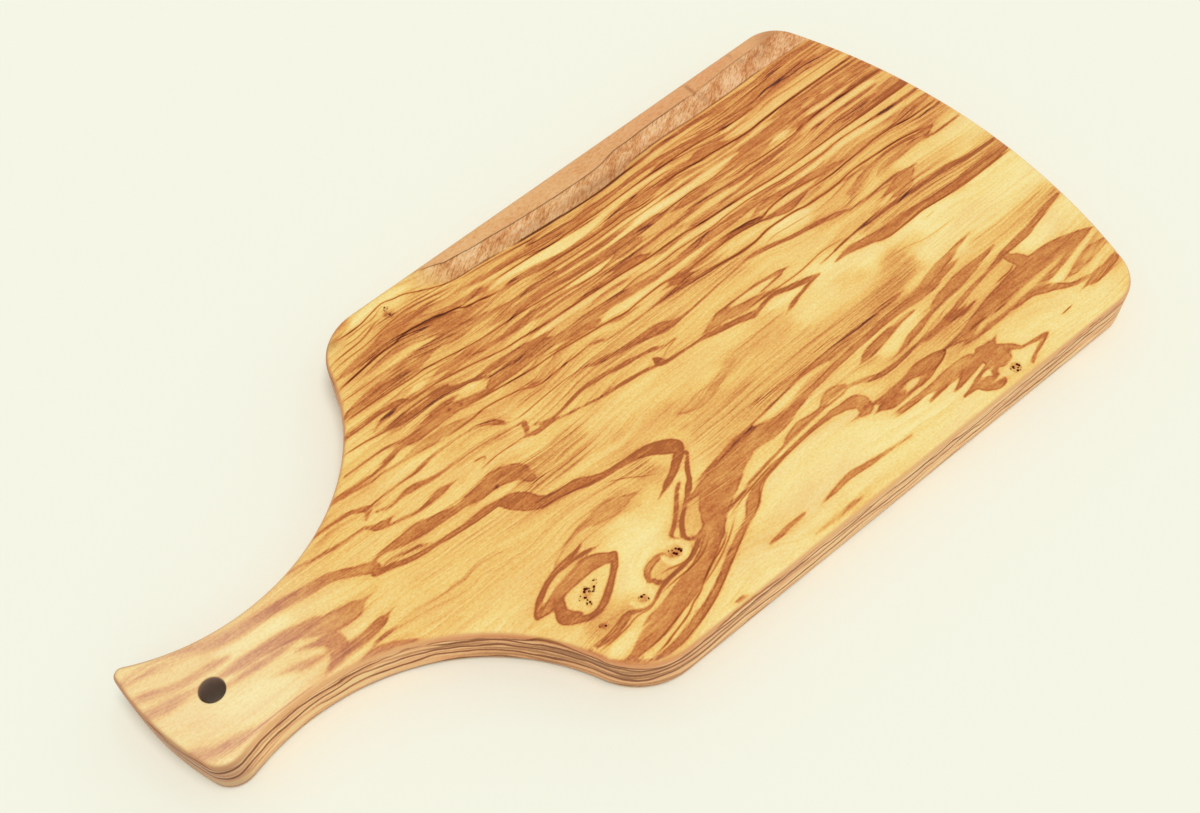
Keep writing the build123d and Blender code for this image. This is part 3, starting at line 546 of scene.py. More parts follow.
    (.6, .35, (-7, -72.8), (-2, -70.7), (3, -67.7), (8, -64.6), (14, -63.2), (26, -61.8), (38, -61.4),
     (46, -62.2)),
    (.7, .35, (79, -67.6), (84, -66.8), (88, -66.9), (92, -67.5), (96, -68.4), (99, -70), (95, -71.9),
     (90, -73.1), (86, -74.1), (80, -74.5), (72, -74.6)),
    (.6, .35, (62, -77.4), (70, -78.1), (78, -78.5)),
    (.6, .4, (76, -81.7), (84, -81), (92, -81.2), (97, -80.6)),
    (.9, .45, (112, -70.3), (118, -70.1), (123, -70.4)),
    (.8, .3, (126, -71.1), (133, -71.1)),
    (.7, .35, (137, -62.5), (142, -62.3), (146, -62.2), (151, -60.8)),
    (.6, .3, (163, -88), (170, -88.1), (181, -88)),
    (.8, .3, (144, -88.9), (147, -88.8), (150.5, -88.6)),
    (.3, .3, (120, -26.5), (128, -27.5), (133, -29), (140, -29.8), (152, -30)),
    (.3, .3, (142, -22.6), (149, -22.2)),
    (.5, .3, (-180, -20), (-165, -19.6), (-150, -19.8)),
    (.4, .3, (65, 16), (72, 16.6)),
    (.45, .3, (114, 64.6), (120, 64), (127, 64.2), (133, 64)),
    (.5, .3, (90, 75), (100, 75.2), (110, 75.4), (120, 75.2), (128, 75)),
    (.45, .3, (139, 66), (150, 65.6), (160, 65.1), (192, 65)),
    (.35, .25, (130, 75), (150, 75.1), (187, 75.4)),
]

# Soft shading of the ground between the bands: its tone, from 0 (cream) to 1 (tan), how far it
# spreads, then the points that it follows.
SOFT_TONES = [
    (.62, 5, (-62, 19), (-48, 18)),
    (.3, 12, (-190, 0), (-160, -8)),
    (.45, 3.5, (-170, 15), (-150, 15.5), (-125, 14)),
    (.5, 2.5, (-197, 5.5), (-183, 5.5)),
    (.12, 3, (-168, 7.5), (-150, 6)),
    (.14, 4, (-188, -3), (-176, -8), (-160, -12)),
    (.5, 3, (-192, -15), (-182, -18.5)),
    (.42, 4, (-160, -6), (-146, -9)),
    (.55, 14, (-60, 45), (0, 40)),
    (.66, 14, (-60, 60), (40, 60)),
    (.62, 16, (60, 50), (190, 45)),
    (.75, 6, (-45, 80), (-35, 78)),
    (.72, 9, (120, 72), (185, 70)),
    (.72, 6, (150, 57), (190, 53)),
    (.6, 8, (130, 10), (175, 10)),
    (.72, 4.5, (186, 14), (198, 14)),
    (.68, 4, (135, 24), (172, 24)),
    (.65, 4, (106, 40.5), (130, 40)),
    (.62, 4, (132, 39.5), (180, 40)),
    (.58, 10, (-20, 18), (60, 12)),
    (.5, 10, (-95, -15), (-60, -30)),
    (.78, 4, (-50, -7), (-38, -9), (-28, -6)),
    (.72, 4.5, (-30, -35), (-20, -35)),
    (.46, 10, (-20, -10), (20, -12)),
    (.6, 3, (-15, -16), (5, -17.5)),
    (.6, 9, (10, -32), (60, -30)),
    (.74, 5, (25, -34), (50, -36), (75, -38), (100, -37.5)),
    (.84, 4.5, (100, -38), (108, -33.5), (118, -30)),
    (.62, 3.5, (115, -26), (133, -27)),
    (.6, 4, (60, -39), (85, -38.5)),
    (.35, 6, (75, -22), (105, -26)),
    (.66, 3.5, (95, -22), (103, -24)),
    (.12, 5, (92, -18), (114, -20)),
    (.12, 6, (130, -23), (195, -25)),
    (.1, 6, (135, -34), (192, -35)),
    (.3, 3, (150, -30), (185, -30)),
    (.55, 3.5, (150, -44), (172, -46), (190, -45)),
    (.15, 3.5, (85, -54.8), (100, -52.2)),
    (.4, 7, (118, -80), (165, -78)),
    (.42, 6, (60, -70), (92, -68)),
    (.5, 6, (110, -57), (140, -56)),
    (.6, 3, (-44, -65), (-38, -64.5)),
    (.62, 3.5, (-20, -57), (-18, -54)),
    (.5, 3, (-57, -37), (-40, -31.5), (-30, -31)),
    (.42, 4, (-28, -35), (-25, -42)),
    (.15, 6, (-55, -64), (-42, -52)),
    (.4, 3, (-70, -55.5), (-60, -54.5)),
    (.27, 7, (5, -72), (50, -68)),
    (.13, 9, (15, -73), (60, -82), (90, -90)),
    (.2, 7, (-40, -93), (10, -88)),
    (.15, 9, (128, -84), (160, -92)),
    (.45, 6, (128, -77), (145, -78)),
    (.15, 4, (165, -58), (190, -58)),
    (.6, 4, (128, -60), (145, -60)),
    (.68, 5, (75, -64), (105, -65), (118, -66)),
    (.6, 3, (98, -73), (112, -76)),
    (.75, 3.5, (-70, -66), (-58, -66)),
    (.45, 4, (160, -82), (183, -82)),
    (.2, 4, (160, 4), (198, 3)),
    (.15, 2.5, (98, 14), (108, 12.6)),
    (.7, 4, (125, -12), (170, -13.5)),
    (.75, 3, (175, -16), (198, -16)),
    (.3, 5, (-50, 92), (-40, 90)),
    (.65, 3, (-66, 92), (-60, 91)),
]

# Places where the wood is calm, with few streaks: how calm, middle, and reach along and across
CALM_PLACES = [(1, (-65, -53), (24, 15)), (1, (-24, -52), (20, 19)), (1, (-46, -69), (32, 9)),
               (1, (-6, -32), (10, 9)), (1, (108, -87), (24, 14)), (.55, (118, -66), (58, 27)),
               (.5, (-160, -2), (44, 24)), (.6, (30, -72), (40, 18)),
               (.5, (62, -14), (90, 25)), (.35, (-90, -22), (50, 22))]

# Pin knots: where the knot lies, how far its ring of brown wood reaches, and the bark pockets in it.
PIN_KNOTS = [
    ((-66, -54.5), 2.2, ((-67.5, -56.8), (-68.2, -58.3), (-66, -54), (-65.5, -53.2), (-64.3, -55),
                         (-62, -53.5), (-61.6, -53), (-67, -55.3), (-68.8, -55))),
    ((-43.6, 84.6), 2.6, ((-44.8, 84.6), (-43, 87), (-42.8, 83))),
    ((-33.5, -63), 2.2, ((-34.6, -62.2), (-32.4, -62.6), (-33.9, -64.3), (-32.2, -64), (-35.2, -63.6))),
    ((-25.5, -62.8), .8, ()),
    ((-70, -67.2), 1.2, ((-70.4, -66.9), (-69.4, -67.9))),
    ((-53.5, -69), 1.6, ((-54.2, -68.4), (-53, -70), (-52.8, -68.6))),
    ((112, -92.4), 2.7, ((110.4, -92.2), (112.6, -91.7), (112.1, -93.6), (111.4, -92.8), (113.4, -92.6),
                         (110.9, -93.5))),
    ((-54, 34), 1, ()),
    ((-50, 33), 1, ()),
    ((-62.5, -2.8), .9, ()),
    ((76, -23), .7, ()),
    ((-29.8, -42), .7, ()),
    ((58, -67.3), .8, ()),
]

# Lower borders of the two sapwood strips along the left side
PLAIN_STRIP_FOOT = [
    (-40, 100), (-25, 94.7), (-20, 92.7), (-15, 91), (-12, 89.7), (-5, 89), (0, 88.3), (10, 87.8), (20, 87),
    (35, 86.5), (45, 86.2), (60, 86.3), (68, 87), (77, 89), (85, 89.3), (95, 90), (105, 90.3), (120, 90.7),
    (130, 91), (145, 92.3), (155, 92.8), (166, 92.9), (190, 95)]
SPECKLED_STRIP_FOOT = [
    (-40, 92), (-28, 87), (-20, 82.5), (-15, 80.3), (-8, 79.8), (0, 79.5), (10, 78.5), (20, 77.6),
    (36, 76.8), (60, 76.3), (72, 77), (76, 79.4), (85, 80.3), (95, 80.8), (115, 80.4), (140, 80.8),
    (160, 81.3), (190, 80.8)]
STRIPS_START = (-34, -12)  # X between which both strips come out of the figure

# Brown stains in the strips: middle, reach along and across, and strength
STRIP_STAINS = [
    ((125, 93), (.7, 5), .9), ((125.5, 86), (1.4, 4), .6), ((60, 79.5), (26, 3), .75),
    ((25, 80), (14, 2.5), .5), ((153.5, 91), (2, 1.5), .7), ((162, 89), (3, 3), .6),
    ((168, 92), (3, 3), .6), ((174, 95), (8, 3), .6), ((181.5, 91), (.8, 1.2), 1),
    ((-68, 87), (3, 2.4), .6), ((152, 97), (1, 2), .5)]


# ---------------------------------------------------------------------------------------------
# From the strokes to values on the mesh

GROUND_TONE = 0.42  # tone of the ground far from every soft stroke
GROUND_WEIGHT = 0.12  # how much that tone holds against a soft stroke
SOFT_REACH = 2.6  # how far a soft stroke reaches, in its own spreads
SOFT_SPREAD = 6.0  # mm, spread of a soft stroke that counts in full
STROKE_REACH = 6.0  # mm round a band or a lens in which its distance is worked out
BAND_FADE = (-1.6, 0.1)  # mm outside and inside a band over which its depth takes over
DEPTH_OUTSIDE = 0.4  # depth of a band's colour where no band is near
LENS_TONE_OUTSIDE = 0.2  # tone of a lens where no lens is near
FEATHER_WIDTH = 0.35  # mm, a stroke's end that is wider than this is drawn out to a tip
FEATHER_ROOM = 0.4  # mm to the next stroke, without which an end stays as it is
LONGEST_FEATHER = 9.0  # mm
LINE_CHANNELS = 3  # growth lines closer than LINE_ROOM never share a channel
LINE_ROOM = 3.2  # mm
LINE_REACH = 3.3  # mm round a growth line in which its distance is worked out
LINE_FADE = (0.9, 1.5)  # mm from a growth line over which its strength fades to nothing
LINE_FAR = 4.0  # the largest distance from a growth line, in its half widths
LINE_TAPER = (9.0, 0.3)  # a growth line's end tapers over so many mm, or share of its length
LINE_END = -0.4  # mm, where a growth line's taper starts
POCKET_RADIUS = 0.62  # mm, bark pocket in a pin knot
NO_POCKET = -3.0  # mm, stands for a place far from every bark pocket
RING_FADE = (0.3, 1.25)  # where a knot's brown ring starts to fade and ends, in its reaches
CALM_FADE = (1.15, 0.7)  # where a calm place starts and is fully calm, in its reaches
FLOW_CELL = 4.0  # mm between the stations of the map of grain direction
FLOW_X, FLOW_Y = (-208, 212), (-116, 116)  # mm, what the map covers
FLOW_REACH = (10, 5.5)  # mm along and across in which a stroke leads the grain
FLOW_SLANT = 1.4  # a stroke leads it where it runs so many times further along than across
FLOW_STRAIGHT = 1.0  # how much straight grain holds against the strokes
FLOW_KEPT = 0.98  # what is left of the grain's wander from one station to the next
STEEPEST_WANDER = (-0.8, 0.5)  # how fast the grain's wander may change across the grain


def smooth_curve(points, pieces=4):
    """A Catmull-Rom curve through given points, with any number of columns."""
    given = np.array(points, float)
    padded = np.vstack([2 * given[0] - given[1], given, 2 * given[-1] - given[-2]])
    before, start, end, after = (padded[k:len(padded) - 3 + k, None] for k in range(4))
    t = np.linspace(0, 1, pieces, endpoint=False)[None, :, None]
    curve = 0.5 * (2 * start + (end - before) * t + (2 * before - 5 * start + 4 * end - after) * t ** 2
                   + (3 * start - before - 3 * end + after) * t ** 3)
    return np.vstack([curve.reshape(-1, given.shape[1]), given[-1:]])


def smooth_step(low, high, value):
    """0 at low, 1 at high, an eased slope between them and level beyond."""
    t = np.clip((value - low) / (high - low), 0, 1)
    return t * t * (3 - 2 * t)


def draw_out(curve, others):
    """Draws a curve's first end out to a tip, where it is free and runs along the grain."""
    heading = curve[0, :2] - curve[min(4, len(curve) - 1), :2]
    width = curve[0, 2]
    room = (np.hypot(*(others[:, :2] - curve[0, :2]).T) - others[:, 2]).min()
    if width <= FEATHER_WIDTH or abs(heading[0]) <= 2 * abs(heading[1]) or room <= FEATHER_ROOM:
        return curve
    tail = min(2 + 3 * width, LONGEST_FEATHER)      # wide ends are drawn out further
    run = np.concatenate([[0], np.cumsum(np.hypot(*np.diff(curve[:, :2], axis=0).T))])
    thinned = curve.copy()
    thinned[:, 2] *= np.clip(0.55 + 0.45 * run / tail, 0, 1)
    tip = curve[0, :2] + heading / np.hypot(*heading) * tail
    return np.vstack([[*tip, -0.3], thinned])


def feathered(strokes):
    """The curves of strokes with their free ends drawn out, so that they can fray."""
    curves = [smooth_curve(points) for _, *points in strokes]
    drawn = []
    for n, curve in enumerate(curves):
        others = np.vstack([c for m, c in enumerate(curves) if m != n])
        for _ in range(2):
            curve = draw_out(curve, others)[::-1]
        drawn.append(curve)
    return drawn


class Nearness:
    """How a set of face points lies to one drawn curve: distance, side, width there, and run."""

    def __init__(self, curve, spots, reach):
        low, high = curve[:, :2].min(0) - reach, curve[:, :2].max(0) + reach
        self.index = np.flatnonzero(((spots > low) & (spots < high)).all(1))
        start, step = curve[:-1], np.diff(curve, axis=0)
        length = np.maximum(np.hypot(step[:, 0], step[:, 1]), 1e-9)
        gap = spots[self.index, None] - start[None, :, :2]
        run = (gap * step[None, :, :2]).sum(2) / length ** 2
        held = np.clip(run, 0, 1)
        off = gap - held[..., None] * step[None, :, :2]
        distance = np.hypot(off[..., 0], off[..., 1])
        if curve.shape[1] > 2:
            width = start[None, :, 2] + held * step[None, :, 2]
            self.inside = (width - distance).max(1)
        nearest = distance.argmin(1)
        rows = np.arange(len(self.index))
        self.distance = distance[rows, nearest]
        cross = step[nearest, 0] * gap[rows, nearest, 1] - step[nearest, 1] * gap[rows, nearest, 0]
        self.side = np.where(cross < 0, -1.0, 1.0)
        so_far = np.concatenate([[0], np.cumsum(length)])
        self.total = so_far[-1]
        self.run = so_far[nearest] + held[rows, nearest] * length[nearest]
        self.past_end = np.maximum(-run[:, 0] * length[0], (run[:, -1] - 1) * length[-1])


def flow_of_grain():
    """A coarse map of how far the grain has wandered to the left, following the drawn curves.

    Returns the map's X stations, its Y stations and the wander at each crossing, in mm."""
    curves = [smooth_curve(points)[:, :2] for _, *points in BANDS]
    curves += [smooth_curve(points) for _, _, *points in GROWTH_LINES]
    middles = np.vstack([(curve[1:] + curve[:-1]) / 2 for curve in curves])
    steps = np.vstack([np.diff(curve, axis=0) for curve in curves])
    along = np.abs(steps[:, 0]) > FLOW_SLANT * np.abs(steps[:, 1])
    middles, steps = middles[along], steps[along]
    slopes, weights = steps[:, 1] / steps[:, 0], np.abs(steps[:, 0])
    stations_x, stations_y = np.arange(*FLOW_X, FLOW_CELL), np.arange(*FLOW_Y, FLOW_CELL)
    near_x = np.exp(-((stations_x[:, None] - middles[:, 0]) / FLOW_REACH[0]) ** 2)
    near_y = np.exp(-((stations_y[:, None] - middles[:, 1]) / FLOW_REACH[1]) ** 2)
    slope = (near_x * weights * slopes) @ near_y.T / ((near_x * weights) @ near_y.T + FLOW_STRAIGHT)
    wander = np.zeros_like(slope)
    for n in range(1, len(stations_x)):
        wander[n] = FLOW_KEPT * wander[n - 1] + slope[n] * FLOW_CELL
    rise = np.clip(np.diff(wander, axis=1) / FLOW_CELL, *STEEPEST_WANDER) * FLOW_CELL
    eased = np.pad(np.cumsum(rise, axis=1), ((0, 0), (1, 0)))
    return stations_x, stations_y, eased + (wander - eased).mean(1, keepdims=True)


def read_map(stations_x, stations_y, values, spots):
    """Reads a coarse map at points between its crossings."""
    at_x = np.clip((spots[:, 0] - stations_x[0]) / FLOW_CELL, 0, len(stations_x) - 1.001)
    at_y = np.clip((spots[:, 1] - stations_y[0]) / FLOW_CELL, 0, len(stations_y) - 1.001)
    i, j = at_x.astype(int), at_y.astype(int)
    u, v = at_x - i, at_y - j
    return ((1 - u) * (1 - v) * values[i, j] + u * (1 - v) * values[i + 1, j]
            + (1 - u) * v * values[i, j + 1] + u * v * values[i + 1, j + 1])


def soft_tone_at(spots):
    """Tone of the ground between the bands, from 0 (cream) to 1 (tan)."""
    weight = np.full(len(spots), GROUND_WEIGHT)
    tone = weight * GROUND_TONE
    for level, spread, *points in SOFT_TONES:
        near = Nearness(smooth_curve(points), spots, SOFT_REACH * spread)
        share = np.exp(-(near.distance / spread) ** 2) * (SOFT_SPREAD / spread) ** 0.5
        weight[near.index] += share
        tone[near.index] += share * level
    return tone / weight


def bands_at(spots):
    """How far inside the brown bands points lie, in mm, and how dark the band is there."""
    inside = np.full(len(spots), -STROKE_REACH)
    depth = np.full(len(spots), DEPTH_OUTSIDE)
    for (level, *_), curve in zip(BANDS, feathered(BANDS)):
        near = Nearness(curve, spots, STROKE_REACH + curve[:, 2].max())
        i = near.index
        inside[i] = np.maximum(inside[i], near.inside)
        depth[i] += (level - depth[i]) * smooth_step(*BAND_FADE, near.inside)
    return inside, depth


def lenses_at(spots):
    """How far inside the pale lenses points lie, in mm, and the tone of the lens there."""
    inside = np.full(len(spots), -STROKE_REACH)
    tone = np.full(len(spots), LENS_TONE_OUTSIDE)
    for (level, *_), curve in zip(PALE_LENSES, feathered(PALE_LENSES)):
        near = Nearness(curve, spots, STROKE_REACH)
        mine = near.inside > inside[near.index]
        i = near.index[mine]
        inside[i] = near.inside[mine]
        tone[i] = level
    return inside, tone


def channel_of_each_line(curves):
    """Sorts the growth lines into channels so that neighbours never share one."""
    channels = []
    for i, curve in enumerate(curves):
        clashes = set()
        for j in range(i):
            gap = curve[:, None] - curves[j][None]
            if np.hypot(gap[..., 0], gap[..., 1]).min() < LINE_ROOM:
                clashes.add(channels[j])
        free = [c for c in range(LINE_CHANNELS) if c not in clashes]
        channels.append(free[0] if free else i % LINE_CHANNELS)
    return channels


def growth_lines_at(spots):
    """Distance from the growth lines, in their half widths, and their strength, by channel."""
    shape = (LINE_CHANNELS, len(spots))
    offsets, strengths, closest = np.full(shape, LINE_FAR), np.zeros(shape), np.full(shape, np.inf)
    curves = [smooth_curve(points) for _, _, *points in GROWTH_LINES]
    for (strength, half_width, *_), curve, channel in zip(GROWTH_LINES, curves, channel_of_each_line(curves)):
        near = Nearness(curve, spots, LINE_REACH)
        mine = near.distance < closest[channel, near.index]
        i = near.index[mine]
        closest[channel, i] = near.distance[mine]
        offset = near.side * near.distance / half_width
        offsets[channel, i] = np.clip(offset, -LINE_FAR, LINE_FAR)[mine]
        taper = min(LINE_TAPER[0], LINE_TAPER[1] * near.total)
        ends = (smooth_step(LINE_END, taper, near.run)
                * smooth_step(LINE_END, taper, near.total - near.run))
        fade = (1 - smooth_step(*LINE_FADE, near.distance)) * (1 - smooth_step(0, 1, near.past_end))
        strengths[channel, i] = (strength * ends ** 0.5 * fade)[mine]
    return offsets, strengths


def knots_at(spots):
    """The brown rings of the pin knots, and how far inside a bark pocket points lie, in mm."""
    ring = np.zeros(len(spots))
    pocket = np.full(len(spots), NO_POCKET)
    for centre, reach, pockets in PIN_KNOTS:
        distance = np.hypot(*(spots - centre).T) / reach
        ring = np.maximum(ring, 1 - smooth_step(*RING_FADE, distance))
        for spot in pockets:
            pocket = np.maximum(pocket, POCKET_RADIUS - np.hypot(*(spots - spot).T))
    return ring, pocket


def stains_and_calm_at(spots):
    """How strongly the strips are stained at points, and how calm the wood is there."""
    stain, calm = np.zeros(len(spots)), np.zeros(len(spots))
    for centre, reach, strength in STRIP_STAINS:
        stain = np.maximum(stain, strength * np.exp(-(((spots - centre) / reach) ** 2).sum(1)))
    for strength, centre, reach in CALM_PLACES:
        share = smooth_step(*CALM_FADE, np.hypot(*((spots - centre) / reach).T))
        calm = np.maximum(calm, strength * share)
    return stain, calm


def figure_at(spots):
    """The wood figure at points of the face (mm), as named columns for the mesh."""
    x, y = spots.T
    band, depth = bands_at(spots)
    lens, lens_tone = lenses_at(spots)
    offsets, strengths = growth_lines_at(spots)
    ring, pocket = knots_at(spots)
    stain, calm = stains_and_calm_at(spots)
    above_plain, above_speckled = (y - np.interp(x, *zip(*foot))
                                   for foot in (PLAIN_STRIP_FOOT, SPECKLED_STRIP_FOOT))
    return {
        "tone": soft_tone_at(spots),
        "band": band,
        "depth": depth,
        "lens": np.stack([lens, lens_tone, stain], 1),
        "lean": read_map(*flow_of_grain(), spots),
        "line_offsets": offsets.T,
        "line_strengths": strengths.T,
        "knots": np.stack([ring, pocket, calm], 1),
        "strips": np.stack([above_plain, above_speckled, smooth_step(*STRIPS_START, x)], 1),
    }


# ---------------------------------------------------------------------------------------------
# The board's shape

ALMOST_STRAIGHT = 1e6  # mm, radius of a side that is drawn as a very large circle
SMALLEST_ARC_STEPS = 7
HOLE_STEPS = 48
GRID_MARGIN = 0.55  # room between the grid and the rim, in steps of the grid


def circle_through(a, b, c):
    """Centre and radius of the circle through three points."""
    rows = 2 * np.array([b - a, c - a])
    centre = np.linalg.solve(rows, [b @ b - a @ a, c @ c - a @ a])
    return centre, np.hypot(*(a - centre))


def circles_meet(centre_a, radius_a, centre_b, radius_b, near):
    """Of the two points where circles cross, the one nearer to a given point."""
    apart = centre_b - centre_a
    distance = np.hypot(*apart)
    forward = apart / distance
    sideways = np.array([-forward[1], forward[0]])
    along = (radius_a ** 2 - radius_b ** 2 + distance ** 2) / (2 * distance)
    across = math.sqrt(max(radius_a ** 2 - along ** 2, 0))
    crossings = [centre_a + along * forward + s * across * sideways for s in (1, -1)]
    return min(crossings, key=lambda p: np.hypot(*(p - near)))


def arc(centre, radius, start, end, side, step):
    """Points of an arc and their directions out of the wood. Side is 1 where the arc bulges out."""
    first, last = (math.atan2(*(p - centre)[::-1]) for p in (start, end))
    turn = (last - first + math.pi) % (2 * math.pi) - math.pi
    count = max(SMALLEST_ARC_STEPS, math.ceil(abs(turn) * radius / step))
    angles = first + turn * np.arange(count) / count
    spokes = np.stack([np.cos(angles), np.sin(angles)], 1)
    return centre + radius * spokes, side * spokes


def almost_straight(a, b):
    """A side from a to b, with the wood on its left, as a circle that is too large to see."""
    run = (b - a) / np.hypot(*(b - a))
    inwards = np.array([-run[1], run[0]])
    return (a + b) / 2 + inwards * ALMOST_STRAIGHT, ALMOST_STRAIGHT, 1


def fillet(side_a, side_b, radius, near):
    """The arc that rounds the corner of two sides: its centre, its radius and its two ends."""
    swap = side_a[1] > side_b[1]    # worked out from the smaller circle, which keeps more digits
    (c1, r1, s1), (c2, r2, s2) = (side_b, side_a) if swap else (side_a, side_b)
    centre = circles_meet(c1, r1 - s1 * radius, c2, r2 - s2 * radius, np.array(near))
    ends = [c + (centre - c) / np.hypot(*(centre - c)) * r for c, r in ((c1, r1), (c2, r2))]
    return centre, radius, *(ends[::-1] if swap else ends)


def board_outline(sizes, length, step):
    """The sawn outline, anticlockwise from above, as points and directions out of the wood, in mm."""
    mm = {name: getattr(sizes, name) / MM for name in BoardSizes.__annotations__}
    tip, far = -length / 2, length / 2 - mm["far_crown_height"]
    shoulder = tip + mm["shoulder_station"]
    near_right, far_right, far_left, near_left = (np.array(p) for p in (
        (shoulder, -mm["right_shoulder_half_width"]), (far, -mm["right_far_half_width"]),
        (far, mm["left_far_half_width"]), (shoulder, mm["left_shoulder_half_width"])))
    left_sweep = np.array([tip + mm["left_waist_station"],
                           mm["left_waist_half_width"] + mm["left_sweep_radius"]])
    right_sweep = np.array([tip + mm["right_waist_station"],
                            -mm["right_waist_half_width"] - mm["right_sweep_radius"]])
    tip_centre = np.array([tip + mm["tip_radius"], mm["tip_crown_offset"]])
    sides = [
        almost_straight(near_right, far_right),
        (*circle_through(far_right, np.array([length / 2, 0.0]), far_left), 1),
        almost_straight(far_left, near_left),
        (left_sweep, mm["left_sweep_radius"], -1),
        (tip_centre, mm["tip_radius"], 1),
        (right_sweep, mm["right_sweep_radius"], -1),
    ]
    rounding = [
        (mm["right_far_corner_radius"], far_right),
        (mm["left_far_corner_radius"], far_left),
        (mm["left_shoulder_radius"], (left_sweep[0] + mm["left_sweep_radius"], near_left[1])),
        (mm["left_tip_corner_radius"], (tip, mm["left_waist_half_width"])),
        (mm["right_tip_corner_radius"], (tip, -mm["right_waist_half_width"])),
        (mm["right_shoulder_radius"], (right_sweep[0] + mm["right_sweep_radius"], near_right[1])),
    ]
    fillets = [fillet(sides[i], sides[(i + 1) % len(sides)], *corner) for i, corner in enumerate(rounding)]
    points, outwards = [], []
    for i, (centre, radius, side) in enumerate(sides):
        corner, corner_radius, start, end = fillets[i]
        for found, out in (arc(centre, radius, fillets[i - 1][3], start, side, step),
                           arc(corner, corner_radius, start, end, 1, step)):
            points.append(found)
            outwards.append(out)
    return np.vstack(points), np.vstack(outwards)


def hole_outline(radius, centre):
    """The hanging hole, clockwise from above, as points and directions out of the wood."""
    angles = -2 * math.pi * np.arange(HOLE_STEPS) / HOLE_STEPS
    spokes = np.stack([np.cos(angles), np.sin(angles)], 1)
    return np.array(centre) + radius * spokes, -spokes


def edge_profile(thickness, top_radius, foot_radius, rounds, rows):
    """How the edge goes down, as (how far in, height), from the face to the underside."""
    quarter = [math.pi / 2 * i / rounds for i in range(rounds + 1)]
    top = [(top_radius * (1 - math.sin(a)), thickness - top_radius * (1 - math.cos(a))) for a in quarter]
    low, high = foot_radius, thickness - top_radius
    wall = [(0, high + (low - high) * i / rows) for i in range(1, rows)]
    foot = [(foot_radius * (1 - math.cos(a)), foot_radius * (1 - math.sin(a))) for a in quarter]
    return top + wall + foot


def inside_loop(spots, loop):
    """Which points lie inside a closed line."""
    x, y = spots[:, 0], spots[:, 1]
    inside = np.zeros(len(spots), bool)
    for (ax, ay), (bx, by) in zip(loop, np.roll(loop, -1, axis=0)):
        if ay != by:
            inside ^= ((ay > y) != (by > y)) & (x < ax + (y - ay) * (bx - ax) / (by - ay))
    return inside


def grid_inside(rim, hole, spacing):
    """A grid of points over the face, and which of its cells lie clear of the rim and the hole."""
    low, high = rim.min(0), rim.max(0)
    across = [np.arange(low[k] + spacing[k] / 2, high[k], spacing[k]) for k in (0, 1)]
    grid = np.stack(np.meshgrid(*across, indexing="ij"), 2)
    spots = grid.reshape(-1, 2)
    tree = KDTree(len(rim) + len(hole))
    for n, point in enumerate(np.vstack([rim, hole])):
        tree.insert((*point, 0), n)
    tree.balance()
    usable = inside_loop(spots, rim) & ~inside_loop(spots, hole)
    for n in np.flatnonzero(usable):
        usable[n] = tree.find((*spots[n], 0))[2] > GRID_MARGIN * min(spacing)
    usable = usable.reshape(grid.shape[:2])
    return grid, usable[:-1, :-1] & usable[1:, :-1] & usable[1:, 1:] & usable[:-1, 1:]


def border_of(quads):
    """The edges that belong to one quad only, in that quad's direction."""
    edges = np.vstack([quads[:, [k, (k + 1) % 4]] for k in range(4)])
    _, first, counts = np.unique(np.sort(edges, axis=1), axis=0, return_index=True, return_counts=True)
    return edges[first[counts == 1]]


def fill_face(rim, hole, spacing):
    """Fills the face between its rim and the hole: a grid of quads, and triangles out to the rims.

    Returns the grid's points and the faces, anticlockwise, which count the rim's points first, then
    the hole's, then the grid's."""
    grid, cells = grid_inside(rim, hole, spacing)
    spots = grid.reshape(-1, 2)
    number = np.arange(len(spots)).reshape(grid.shape[:2])
    i, j = np.nonzero(cells)
    quads = np.stack([number[i, j], number[i + 1, j], number[i + 1, j + 1], number[i, j + 1]], 1)
    border = border_of(quads)
    border_points = np.unique(border)
    loose = len(rim) + len(hole)
    place = {old: loose + n for n, old in enumerate(border_points)}
    joins = [(n, (n + 1) % len(rim)) for n in range(len(rim))]
    joins += [(len(rim) + n, len(rim) + (n + 1) % len(hole)) for n in range(len(hole))]
    joins += [(place[a], place[b]) for a, b in border]
    known = np.vstack([rim, hole, spots[border_points]])
    found, _, faces, came_from, _, _ = delaunay_2d_cdt([Vector(p) for p in known], joins, [], 0, 1e-6)
    if len(found) != len(known):
        raise RuntimeError("The rim of the board meets its grid")
    own = [came[0] for came in came_from]
    middles = np.array([known[[own[k] for k in face]].mean(0) for face in faces])
    cell = np.floor((middles - grid[0, 0]) / spacing).astype(int)
    on_grid = ((cell >= 0) & (cell < np.array(cells.shape))).all(1)
    taken = np.zeros(len(faces), bool)
    taken[on_grid] = cells[cell[on_grid, 0], cell[on_grid, 1]]
    wanted = inside_loop(middles, rim) & ~inside_loop(middles, hole) & ~taken

    used = np.unique(quads)
    order = {old: loose + n for n, old in enumerate(used)}
    final = list(range(loose)) + [order[old] for old in border_points]
    triangles = [[final[own[k]] for k in face] for face, keep in zip(faces, wanted) if keep]
    renumbered = np.array([order[old] for old in quads.ravel()]).reshape(-1, 4)
    return spots[used], [list(q) for q in renumbered] + triangles


